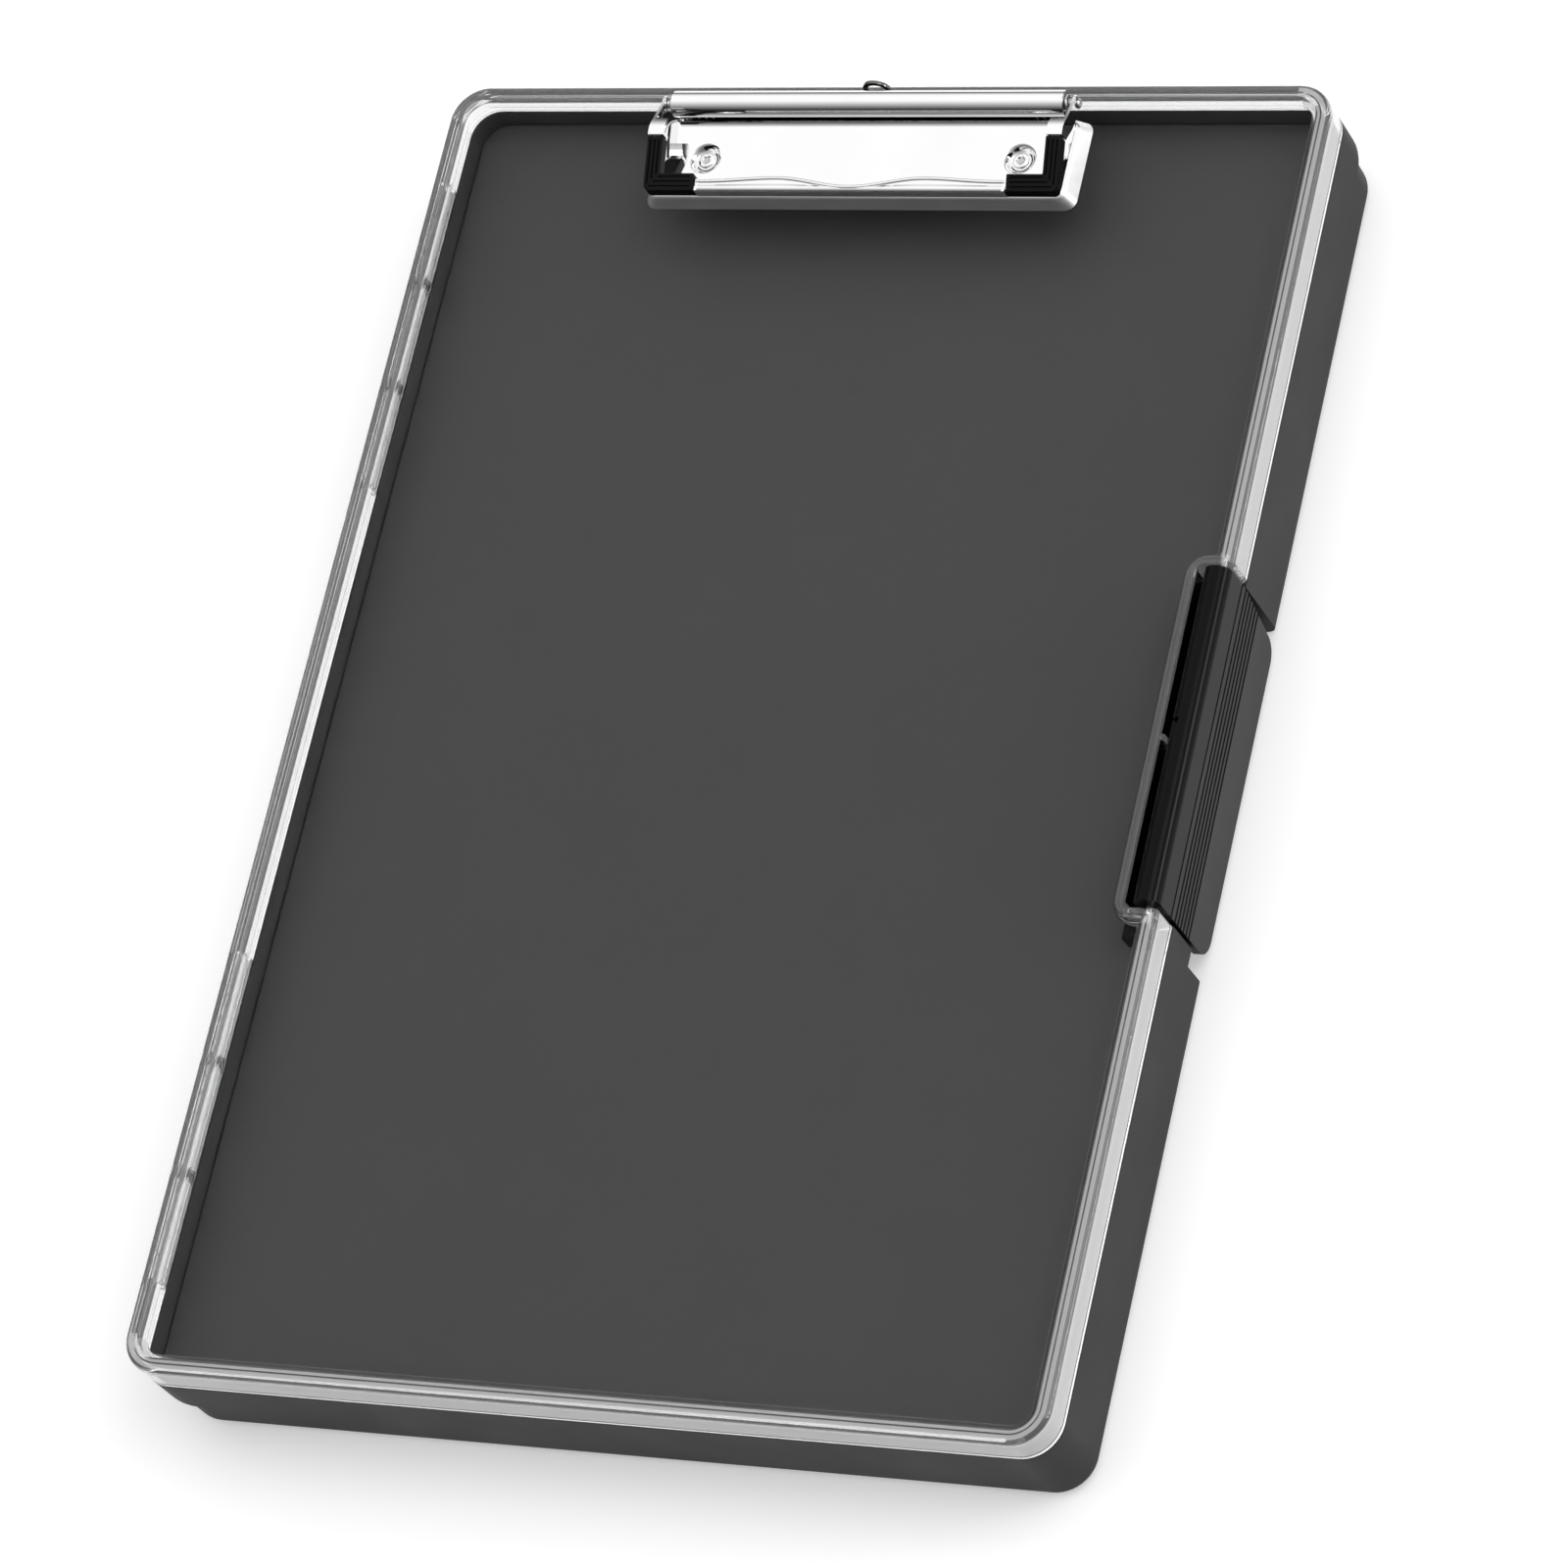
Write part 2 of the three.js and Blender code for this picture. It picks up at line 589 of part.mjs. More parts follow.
function clipJaw() {
  const { frontY, halfX, frontZ, depth, slope } = JAW;
  const barX = PAD.innerX - GAP;
  const barPoints = [[barX, frontY], [-barX, frontY]].reverse();
  const steps = 20;
  for (let i = 0; i <= steps; i++) {
    const x = barX - (2 * barX * i) / steps;
    barPoints.push([x, waveY(x)]);
  }
  const barTop = prism(polygon(barPoints), frontZ - SHEET, frontZ);
  const barFront = block(-barX, barX, frontY, frontY + SHEET, frontZ - depth, frontZ);

  const armFront = PAD.rearY + GAP;
  const topAt = (y) => frontZ + (y - frontY) * slope;
  const peak = [157, topAt(PAD.rearY) + 0.4];
  const armRear = [ARM_REAR_Y, peak[1] - 1];
  const inner = halfX - PAD.width;
  const armTop = polygon([
    [armFront, topAt(armFront) - SHEET],
    [peak[0], peak[1] - SHEET],
    [armRear[0], armRear[1] - SHEET],
    armRear,
    peak,
    [armFront, topAt(armFront)],
  ]);
  const flange = polygon([
    [armFront, topAt(armFront) - depth],
    [ARM_REAR_Y - 1, 39.4],
    [ROLL.y - 1.2, ROLL.z - EAR_R + 0.4],
    [ROLL.y + 1.2, ROLL.z + EAR_R - 0.4],
    [ROLL.y - 1.5, ROLL.z + EAR_R + 0.3],
    armRear,
    peak,
    [armFront, topAt(armFront)],
  ]);
  const ear = rodAlongX(ROLL.y, ROLL.z, EAR_R, halfX - SHEET, halfX, 20);
  const tongue = leaned(
    prism(
      cornerL(TONGUE.inset, TONGUE.width, armFront + SHEET, barX - SHEET, false),
      TONGUE.bottom,
      TONGUE.top,
      3,
    ),
  );
  const webZ = topAt(armFront) - depth;
  const webRear = frontY + TONGUE.inset + TONGUE.width;
  const barWeb = block(barX - SHEET, barX, frontY, webRear, frontZ - depth, frontZ);
  const armWeb = block(inner, halfX, armFront, armFront + SHEET, webZ, topAt(armFront));
  const side = union([
    alongX(armTop, inner, halfX),
    alongX(flange, halfX - SHEET, halfX),
    ear,
    tongue,
    barWeb,
    armWeb,
  ]);
  const rodHoles = rodAlongX(ROLL.y, ROLL.z, ROD.r + 0.25, -FAR, FAR, 12);
  return union([barTop, barFront, side, mirrored(side)]).subtract(rodHoles);
}

// ---- retractable hanger -------------------------------------------------------------------------------

function hangTab() {
  const { halfX, z, frontY, lipY, topZ, holeR, holeY } = TAB;
  const strap = prism(roundedRect(-halfX, halfX, frontY, lipY, 0.6), z, z + SHEET, 3);
  const hole = rodAlongZ(0, holeY, holeR, 0, FAR, 20);
  const { archR, windowR, shoulder, taper } = TAB_LIP;
  const arch = new THREE.Shape();
  arch.moveTo(-halfX, z);
  arch.lineTo(halfX, z);
  arch.lineTo(halfX - taper, z + shoulder);
  arch.lineTo(archR, topZ - archR);
  arch.absarc(0, topZ - archR, archR, 0, Math.PI);
  arch.lineTo(-halfX + taper, z + shoulder);
  arch.closePath();
  const lip = alongY(arch, lipY - SHEET, lipY);
  const window = rodAlongY(0, topZ - archR, windowR, 0, FAR, 16);
  return strap.subtract(hole).add(lip).subtract(window);
}

// A folded channel under the clip plate; the tab's strap slides in it.
function hangTabGuide() {
  const { y0, y1, halfX, wall, lip } = GUIDE;
  const z0 = PANEL.top + GAP;
  const z1 = TAB.z + SHEET + GAP + 0.5;
  const channel = block(-halfX, halfX, y0, y1, z0, z1);
  const room = block(-halfX + wall, halfX - wall, y0 - 1, y1 + 1, z0 + wall, z1 - 0.5);
  const slot = block(-lip, lip, y0 - 1, y1 + 1, z1 - 1, FAR);
  return channel.subtract(room).subtract(slot);
}

// ---- the assembly ---------------------------------------------------------------------------------------

const clipboard = new THREE.Group();
clipboard.name = "storage_clipboard";

function place(name, body, materialName) {
  const material = new THREE.MeshStandardMaterial(MATERIALS[materialName]);
  const mesh = new THREE.Mesh(geometryOf(body), material);
  mesh.name = name;
  clipboard.add(mesh);
}

place("base_tray", baseTray(), "case");
place("divider_deck", dividerDeck(), "case");
place("clear_lid", clearLid(), "clear");
place("hinge_pin_upper", hingePin(HINGE_ZONE.from, HINGE_ZONE.to), "steel");
place("hinge_pin_lower", hingePin(-HINGE_ZONE.to, -HINGE_ZONE.from), "steel");
place("latch_lever", latchLever(), "latch");
place("latch_pin", latchPin(), "steel");
place("clip_base_plate", clipBasePlate(), "chrome");
place("clip_jaw", clipJaw(), "chrome");
place("jaw_pivot_rod", jawPivotRod(), "steel");
place("jaw_spring_right", jawSpring(), "steel");
place("jaw_spring_left", mirrored(jawSpring()), "steel");
place("corner_pad_right", cornerPad(), "rubber");
place("corner_pad_left", mirrored(cornerPad()), "rubber");
for (const [side, x] of [["left", -RIVET.x], ["right", RIVET.x]]) {
  place(`rivet_${side}`, rivet(x), "chrome");
  place(`rivet_washer_${side}`, rivetWasher(x), "steel");
}
place("hang_tab", hangTab(), "chrome");
place("hang_tab_guide", hangTabGuide(), "steel");

export default clipboard;
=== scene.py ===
"""A storage clipboard: dark case, clear lid, side latch and low chrome clip, lying on a pale floor.

Pieces are drawn in millimetres in the frame's own axes (+X towards the latch, +Y towards the clip,
+Z up off the back) and scaled to metres as they are finished.
"""

import math

import bmesh
import bpy
from mathutils import Matrix, Quaternion, Vector


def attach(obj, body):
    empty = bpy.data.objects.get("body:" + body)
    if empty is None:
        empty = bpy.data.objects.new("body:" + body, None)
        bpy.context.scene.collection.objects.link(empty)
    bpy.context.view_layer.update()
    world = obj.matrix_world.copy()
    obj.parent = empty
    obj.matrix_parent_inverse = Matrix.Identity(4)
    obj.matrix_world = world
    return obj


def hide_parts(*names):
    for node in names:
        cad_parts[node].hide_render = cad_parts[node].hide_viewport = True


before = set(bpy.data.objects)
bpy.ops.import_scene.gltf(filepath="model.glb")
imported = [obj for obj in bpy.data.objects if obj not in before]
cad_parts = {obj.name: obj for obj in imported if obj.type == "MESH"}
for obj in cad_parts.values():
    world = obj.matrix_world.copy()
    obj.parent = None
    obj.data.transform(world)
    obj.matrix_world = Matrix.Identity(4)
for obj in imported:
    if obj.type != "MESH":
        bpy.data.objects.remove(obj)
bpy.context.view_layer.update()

MM = 0.001

# ---- driving sizes, in millimetres --------------------------------------------------------------

HALF_X, HALF_Y, CORNER = 120, 175, 9.5
SEAM_Z = 24
WALL = 2
GAP = 0.3
SHEET = 0.8
STEP_Z, STEP_IN, STEP_ROUND, BACK_ROUND = 11, 3.5, 2, 3.2
LEDGE_Z0, LEDGE_Z1, LEDGE_WIDTH = 14.4, 16.4, 2.5
DECK_Z0, DECK_Z1, DECK_EDGE_GAP, DECK_CORNER, DECK_ROUND = 16.7, 18.5, 0.4, 7, 0.5

LID_Z0, RIM_TOP_Z, RIM_ROUND = 24.15, 33.8, 1.3
PANEL_TOP_Z, PANEL_UNDER_Z, RIM_WIDTH = 32.2, 30.2, 5.2
NOTCH_X, NOTCH_Y0, NOTCH_Y1 = 111, -42.6, 45.2
NOTCH_WALL_X, NOTCH_WALL_Y0, NOTCH_WALL_Y1 = 107.5, -47, 49
POCKET_X, POCKET_Y0, POCKET_Y1 = 117.5, -43, 44.4
RECESS_X, RECESS_Y0, RECESS_Y1 = 114.5, -47.5, 44.4

HINGE_X, HINGE_Z, HINGE_R, HINGE_BORE_R, HINGE_PIN_R = -121.4, 24, 2.4, 1.3, 1
HINGE_FROM, HINGE_TO = 64, 150
EAR_AT, EAR_WIDTH, KNUCKLE_GAP, KNUCKLE_CLEARANCE = (92.2, 121.8), 1.8, 0.4, 0.35

LATCH_Y0, LATCH_Y1, LATCH_TIP_Y1, LATCH_Z0 = -42.2, 43.5, 40.3, 2
LATCH_FACE_X, LATCH_THICK, LATCH_CORNER = 120.5, 2.1, 5.2
BARREL_R, BARREL_Z, HUB_R = 3.4, 34, 2.5
LATCH_AXIS_X, LATCH_AXIS_Z, LATCH_BORE_R, LATCH_PIN_R = 116.8, 31.9, 1.2, 0.9
GRIP_TOP, GRIP_COUNT, GRIP_PITCH, GRIP_WIDTH, GRIP_DEPTH = 25, 6, 1.9, 0.9, 0.5
GRIP_ZONE = 12  # the grooves lie within this much of GRIP_TOP
PARTING_Z = 27.2
RIDGE_HALF_Y, RIDGE_Z0, RIDGE_Z1 = 12, 15.2, 16.8
STOP_TAB_HALF_X, STOP_TAB_Y, STOP_TAB_Z = 1, (-0.3, 1.3), (28, 33.5)
STOP_RELIEF_GAP, STOP_RELIEF_Y, STOP_RELIEF_Z0 = 0.6, (-0.9, 4.2), 35.2
LATCH_PIN_PAST, LATCH_BORE_PAST = (3.6, 3), (3.9, 3.3)  # past the notch at its low and high end

PLATE_TOP_Z, PLATE_FOOT_Z = 36.9, 32.5
PLATE_FOOT = (-58.4, 58.4, 140.4, 165)
PLATE_TOP = (-56.2, 56.2, 141.5, 163.6)
RIVET_X, RIVET_Y, RIVET_HOLE_R, RIVET_HEAD_Z = 42.75, 152.4, 1.6, 35.5
DIMPLE_Z, DIMPLE_R, DIMPLE_FLOOR_R = 35.2, 4.5, 3.1
RIVET_SHANK_R, BOSS_R, WASHER_R = 1.3, 3.6, 3.8
ROLL_Y, ROLL_Z, ROLL_R, ROLL_X = 166.5, 39.3, 3.3, 53.2
ROD_R, ROD_X = 1.2, 56.8
COIL_R, COIL_WIRE_R, COIL_TURNS, COIL_LENGTH, COIL_OUTER_X = 1.95, 0.35, 6, 12, 55

JAW_FRONT_Y, JAW_X, JAW_FRONT_Z, JAW_SLOPE, JAW_DEPTH = 141.5, 56.15, 40.1, 0.31, 2.9
PAD_WIDTH, PAD_REAR_Y, PAD_INNER_X = 4.25, 154.75, 42.4
ARM_PEAK_Y, ARM_REAR_Y, EAR_R = 157, 160, 2.1
WAVE_END_Y, WAVE_CREST_Y, WAVE_TROUGH_Y, WAVE_CREST_X = 144.4, 145.3, 142.9, 20

TAB_X, TAB_Z, TAB_FRONT_Y, TAB_LIP_Y, TAB_TOP_Z = 6, 34.2, 149, 172.4, 40.6
TAB_HOLE_Y, TAB_HOLE_R, TAB_ARCH_R, TAB_WINDOW_R = 164.5, 3, 3.7, 2.5
GUIDE_Y0, GUIDE_Y1, GUIDE_X, GUIDE_LIP_X = 150.5, 161.5, 7.2, 4.8

FAR = 500  # reach of a cutting block

CAMERA_AT, CAMERA_AIM = (0.77107, -0.65641, 1.46537), (0.012726, -0.011253, 0.024)
CAMERA_ROLL, CAMERA_LENS = -41.6135, 168.51
FRONT_LIGHT = 0.25
HORIZON_LIGHT, ZENITH_LIGHT, FLOOR_GLOW = 0.1, 1.1, 0.31

# ---- outlines -----------------------------------------------------------------------------------


def arc(cx, cy, r, start, end, steps):
    """Points on a circle from start to end, in degrees."""
    angles = [math.radians(start + (end - start) * i / steps) for i in range(steps + 1)]
    return [(cx + r * math.cos(a), cy + r * math.sin(a)) for a in angles]


def rounded_rect(x0, x1, y0, y1, r, steps=12):
    return (
        arc(x1 - r, y1 - r, r, 0, 90, steps)
        + arc(x0 + r, y1 - r, r, 90, 180, steps)
        + arc(x0 + r, y0 + r, r, 180, 270, steps)
        + arc(x1 - r, y0 + r, r, 270, 360, steps)
    )


def stepped_outline(edges, inset, steps=12, tightest=0.25):
    """A closed outline of straight runs that meet square, drawn in by inset.

    Each edge is (axis, place, share, side, radius): the line's axis and place, how much of the inset it
    takes and in which direction, and the radius of the corner at its end.
    """
    lines = [(axis, place + side * share * inset) for axis, place, share, side, _ in edges]
    points = []
    for i, (axis, place) in enumerate(lines):
        next_place = lines[(i + 1) % len(lines)][1]
        after_axis, after_place = lines[(i + 2) % len(lines)]
        before_axis, before_place = lines[i - 1]
        corner = (place, next_place) if axis == "x" else (next_place, place)
        came = _towards(before_axis, before_place, corner)
        goes = _towards(after_axis, after_place, corner, coming=False)
        turn = came[0] * goes[1] - came[1] * goes[0]
        radius = edges[i][4]
        radius = max(radius - inset, tightest) if turn > 0 else radius + inset
        centre = (
            corner[0] - came[0] * radius + goes[0] * radius,
            corner[1] - came[1] * radius + goes[1] * radius,
        )
        start = math.degrees(math.atan2(-goes[1], -goes[0]))
        sweep = 90 if turn > 0 else -90
        points += arc(centre[0], centre[1], radius, start, start + sweep, steps)
    return points


def _towards(axis, place, corner, coming=True):
    """The unit direction of the run between a neighbouring line and this corner."""
    index = 0 if axis == "x" else 1
    sign = 1 if corner[index] > place else -1
    direction = [0, 0]
    direction[index] = sign if coming else -sign
    return direction


# ---- meshes -------------------------------------------------------------------------------------


def new_object(name, bm):
    bmesh.ops.recalc_face_normals(bm, faces=bm.faces)
    mesh = bpy.data.meshes.new(name)
    bm.to_mesh(mesh)
    bm.free()
    obj = bpy.data.objects.new(name, mesh)
    bpy.context.scene.collection.objects.link(obj)
    return obj


def loft(rings, name="loft"):
    """A closed solid through rings of as many points each, with flat ends."""
    bm = bmesh.new()
    rows = [[bm.verts.new(p) for p in ring] for ring in rings]
    count = len(rows[0])
    for low, high in zip(rows, rows[1:]):
        for i in range(count):
            j = (i + 1) % count
            bm.faces.new((low[i], low[j], high[j], high[i]))
    bm.faces.new(list(reversed(rows[0])))
    bm.faces.new(rows[-1])
    return new_object(name, bm)


def raised(outline, z0, z1):
    return loft([[(x, y, z) for x, y in outline] for z in (z0, z1)])


def along_y(outline, y0, y1):
    """An outline in X and Z, run along Y."""
    return loft([[(x, y, z) for x, z in outline] for y in (y0, y1)])


def along_x(outline, x0, x1):
    """An outline in Y and Z, run along X."""
    return loft([[(x, y, z) for y, z in outline] for x in (x0, x1)])


def block(x0, x1, y0, y1, z0, z1):
    return raised([(x0, y0), (x1, y0), (x1, y1), (x0, y1)], z0, z1)


def turned(profile, axis, at, sides=48):
    """A turned solid: profile is (radius, place along the axis), ending on the axis at both ends."""
    bm = bmesh.new()
    others = {"x": (1, 2), "y": (2, 0), "z": (0, 1)}[axis]
    main = "xyz".index(axis)

    def point(r, along, angle):
        p = list(at)
        p[main] = along
        p[others[0]] += r * math.cos(angle)
        p[others[1]] += r * math.sin(angle)
        return p

    first = bm.verts.new(point(0, profile[0][1], 0))
    last = bm.verts.new(point(0, profile[-1][1], 0))
    rows = []
    for r, along in profile[1:-1]:
        rows.append([bm.verts.new(point(r, along, 2 * math.pi * i / sides)) for i in range(sides)])
    for i in range(sides):
        j = (i + 1) % sides
        bm.faces.new((first, rows[0][j], rows[0][i]))
        bm.faces.new((last, rows[-1][i], rows[-1][j]))
        for low, high in zip(rows, rows[1:]):
            bm.faces.new((low[i], low[j], high[j], high[i]))
    return new_object("turned", bm)


def pin(axis, at, r, start, end, chamfer=0.25, sides=40):
    """A plain rod with chamfered ends."""
    profile = [
        (0, start),
        (r - chamfer, start),
        (r, start + chamfer),
        (r, end - chamfer),
        (r - chamfer, end),
        (0, end),
    ]
    return turned(profile, axis, at, sides)


def bore(axis, at, r, start, end, sides=40):
    return turned([(0, start), (r, start), (r, end), (0, end)], axis, at, sides)


def wire(path, r, sides=10):
    """A round wire along a path, with flat ends."""
    rings = []
    side = None
    for i, point in enumerate(path):
        ahead = path[min(i + 1, len(path) - 1)]
        behind = path[max(i - 1, 0)]
        tangent = (Vector(ahead) - Vector(behind)).normalized()
        side = tangent.orthogonal() if side is None else side - tangent * side.dot(tangent)
        side.normalize()
        up = tangent.cross(side)
        ring = []
        for k in range(sides):
            a = 2 * math.pi * k / sides
            ring.append(Vector(point) + side * (r * math.cos(a)) + up * (r * math.sin(a)))
        rings.append(ring)
    return loft(rings)


def bake_modifiers(obj):
    depsgraph = bpy.context.evaluated_depsgraph_get()
    mesh = bpy.data.meshes.new_from_object(obj.evaluated_get(depsgraph))
    old = obj.data
    obj.modifiers.clear()
    obj.data = mesh
    bpy.data.meshes.remove(old)
    return obj


def combine(obj, tool, operation):
    """Cuts or joins tool into obj and throws the tool away."""
    modifier = obj.modifiers.new("combine", "BOOLEAN")
    modifier.operation = operation
    modifier.solver = "MANIFOLD"
    modifier.object = tool
    bake_modifiers(obj)
    bpy.data.objects.remove(tool)
    return obj


def cut(obj, *tools):
    for tool in tools:
        combine(obj, tool, "DIFFERENCE")
    return obj


def join(obj, *tools):
    for tool in tools:
        combine(obj, tool, "UNION")
    return obj


def soften(obj, width, segments=2, angle=40):
    """Rounds the sharp edges."""
    modifier = obj.modifiers.new("soften", "BEVEL")
    modifier.width = width
    modifier.segments = segments
    modifier.limit_method = "ANGLE"
    modifier.angle_limit = math.radians(angle)
    modifier.use_clamp_overlap = True
    return bake_modifiers(obj)


def mirror_x(obj):
    obj.data.transform(Matrix.Scale(-1, 4, (1, 0, 0)))
    obj.data.flip_normals()
    return obj


def copy_of(obj):
    twin = obj.copy()
    twin.data = obj.data.copy()
    bpy.context.scene.collection.objects.link(twin)
    return twin


def finish_piece(obj, name, body, material, node, smooth=32):
    """Names the piece, scales it to metres, shades it and puts it on its body in place of its node."""
    obj.name = obj.data.name = name
    obj.data.transform(Matrix.Scale(MM, 4))
    bm = bmesh.new()
    bm.from_mesh(obj.data)
    bmesh.ops.remove_doubles(bm, verts=bm.verts, dist=1e-7)
    bmesh.ops.dissolve_degenerate(bm, edges=bm.edges, dist=1e-7)
    bm.to_mesh(obj.data)
    bm.free()
    for polygon in obj.data.polygons:
        polygon.use_smooth = True
    obj.data.set_sharp_from_angle(angle=math.radians(smooth))
    weighted = obj.modifiers.new("weighted", "WEIGHTED_NORMAL")
    weighted.keep_sharp = True
    bake_modifiers(obj)
    obj.data.name = name
    materials = material if isinstance(material, list) else [material]
    for i, finish in enumerate(materials):
        if len(obj.data.materials) > i:
            obj.data.materials[i] = finish
        else:
            obj.data.materials.append(finish)
    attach(obj, body)
    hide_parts(node)
    return obj


# ---- finishes -----------------------------------------------------------------------------------


def shader(name):
    material = bpy.data.materials.new(name)
    material.use_nodes = True
    tree = material.node_tree
    principled = tree.nodes["Principled BSDF"]
    place = tree.nodes.new("ShaderNodeTexCoord")
    return material, tree, principled, place.outputs["Object"]


def noise(tree, place, scale, detail=2.0, stretch=None):
    """Noise in the piece's own space; scale is in features for each metre."""
    if stretch:
        mapping = tree.nodes.new("ShaderNodeMapping")
        mapping.inputs["Scale"].default_value = stretch
        tree.links.new(place, mapping.inputs["Vector"])
        place = mapping.outputs["Vector"]
    node = tree.nodes.new("ShaderNodeTexNoise")
    node.inputs["Scale"].default_value = scale
    node.inputs["Detail"].default_value = detail
    tree.links.new(place, node.inputs["Vector"])
    return node.outputs["Fac"]


def between(tree, value, low, high):
    """Maps noise onto a range of numbers."""
    node = tree.nodes.new("ShaderNodeMapRange")
    node.inputs["From Min"].default_value = 0.3
    node.inputs["From Max"].default_value = 0.7
    node.inputs["To Min"].default_value = low
    node.inputs["To Max"].default_value = high
    tree.links.new(value, node.inputs["Value"])
    return node.outputs["Result"]


def colours(tree, value, first, second):
    node = tree.nodes.new("ShaderNodeMix")
    node.data_type = "RGBA"
    node.inputs["A"].default_value = (*first, 1)
    node.inputs["B"].default_value = (*second, 1)
    tree.links.new(value, node.inputs["Factor"])
    return node.outputs["Result"]


def bump(tree, principled, height, strength, distance):
    node = tree.nodes.new("ShaderNodeBump")
    node.inputs["Strength"].default_value = strength
    node.inputs["Distance"].default_value = distance
    tree.links.new(height, node.inputs["Height"])
    tree.links.new(node.outputs["Normal"], principled.inputs["Normal"])


def moulded_plastic(name, dark, light, roughness, specular, grain_scale, grain):
    """Moulded plastic: faint colour drift, an eroded-tool grain and patchy gloss from handling."""
    material, tree, principled, place = shader(name)
    drift = noise(tree, place, 18, 3)
    tree.links.new(colours(tree, drift, dark, light), principled.inputs["Base Color"])
    patches = noise(tree, place, 45, 4)
    tree.links.new(between(tree, patches, *roughness), principled.inputs["Roughness"])
    principled.inputs["Specular IOR Level"].default_value = specular
    bump(tree, principled, noise(tree, place, grain_scale, 3), grain, 0.00004)
    return material


def clear_plastic(name, ior, tint, roughness, clarity, lamps_through):
    """Polished clear plastic with fine rubbing marks; lamps reach what lies behind it."""
    material, tree, principled, place = shader(name)
    principled.inputs["Base Color"].default_value = (*tint, 1)
    principled.inputs["Transmission Weight"].default_value = clarity
    principled.inputs["IOR"].default_value = ior
    rubbing = noise(tree, place, 120, 5, stretch=(1, 0.15, 1))
    tree.links.new(between(tree, rubbing, *roughness), principled.inputs["Roughness"])
    path = tree.nodes.new("ShaderNodeLightPath")
    through = tree.nodes.new("ShaderNodeBsdfTransparent")
    through.inputs["Color"].default_value = (lamps_through, lamps_through, lamps_through, 1)
    mix = tree.nodes.new("ShaderNodeMixShader")
    output = tree.nodes["Material Output"]
    tree.links.new(path.outputs["Is Shadow Ray"], mix.inputs[0])
    tree.links.new(principled.outputs[0], mix.inputs[1])
    tree.links.new(through.outputs[0], mix.inputs[2])
    tree.links.new(mix.outputs[0], output.inputs["Surface"])
    return material


def plated_steel(name, colour, roughness, brushing, grain):
    """Bright plated or drawn steel with faint polishing lines."""
    material, tree, principled, place = shader(name)
    principled.inputs["Metallic"].default_value = 1
    drift = noise(tree, place, 60, 2)
    darker = tuple(c * 0.93 for c in colour)
    tree.links.new(colours(tree, drift, darker, colour), principled.inputs["Base Color"])
    lines = noise(tree, place, 900, 3, stretch=brushing)
    tree.links.new(between(tree, lines, *roughness), principled.inputs["Roughness"])
    bump(tree, principled, lines, grain, 0.00001)
    return material


case_finish = moulded_plastic(
    "case_plastic",
    (0.026, 0.026, 0.0265), (0.029, 0.029, 0.0295), (0.46, 0.54), 0.12, 2200, 0.1,
)
# Deck plastic, also painted on the tray's inner walls as painted light.
deck_and_painted_light_finish = moulded_plastic(
    "deck_plastic_and_painted_light",
    (0.065, 0.065, 0.0655), (0.068, 0.068, 0.0685), (0.5, 0.56), 0.1, 2600, 0.08,
)
# Near-black barrel plastic, also painted as shade on the tray's notch shelf, the lid's notch face and
# the latch grooves.
barrel_and_painted_shade_finish = moulded_plastic(
    "barrel_plastic_and_painted_shade",
    (0.0025, 0.0025, 0.0026), (0.0035, 0.0035, 0.0036), (0.16, 0.22), 0.08, 1500, 0.03,
)
flap_finish = moulded_plastic(
    "flap_plastic",
    (0.030, 0.030, 0.0305), (0.033, 0.033, 0.0335), (0.42, 0.5), 0.12, 2200, 0.08,
)
# Darker plastic for the latch's grip band: painted shade.
grip_painted_shade_finish = moulded_plastic(
    "grip_painted_shade",
    (0.012, 0.012, 0.0122), (0.014, 0.014, 0.0142), (0.36, 0.44), 0.12, 2200, 0.06,
)
pad_finish = moulded_plastic(
    "pad_rubber",
    (0.003, 0.003, 0.0031), (0.0045, 0.0045, 0.0046), (0.42, 0.6), 0.12, 1800, 0.2,
)
panel_finish = clear_plastic("clear_panel", 1.06, (0.99, 0.99, 0.99), (0.0, 0.02), 1, 0.35)
edge_finish = clear_plastic("clear_edge", 1.46, (0.985, 0.99, 0.99), (0.0, 0.03), 0.95, 0.3)
# Paler, partly white clear finish for the lid's rim and walls on the +X and -Y sides: painted light.
skirt_painted_light_finish = clear_plastic("clear_skirt_painted_light", 1.46, (0.96, 0.96, 0.96), (0.02, 0.08), 0.62, 0.3)
chrome_finish = plated_steel("chrome_plate", (0.93, 0.93, 0.935), (0.03, 0.07), (0.2, 1, 1), 0.03)
satin_finish = plated_steel("chrome_sides", (0.97, 0.97, 0.97), (0.38, 0.48), (0.2, 1, 1), 0.03)
steel_finish = plated_steel("drawn_steel", (0.55, 0.55, 0.56), (0.22, 0.38), (1, 0.2, 1), 0.15)
hanger_finish = plated_steel("dark_steel", (0.16, 0.155, 0.15), (0.12, 0.2), (1, 0.2, 1), 0.1)

# ---- case and deck ------------------------------------------------------------------------------


# The order of each piece's finishes, as its finish_piece call lists them.
CASE_BODY, SHELF_PAINTED_SHADE, INNER_WALL_PAINTED_LIGHT = range(3)
EDGE, PANEL, SKIRT_PAINTED_LIGHT, NOTCH_FACE_PAINTED_SHADE = range(4)
BARREL, FLAP, GRIP_PAINTED_SHADE = range(3)
BRIGHT, DULL = range(2)


def both_sides(spans):
    """Each span of the clip-side hinge and its twin on the other hinge."""
    return [span for a, b in spans for span in ((a, b), (-b, -a))]


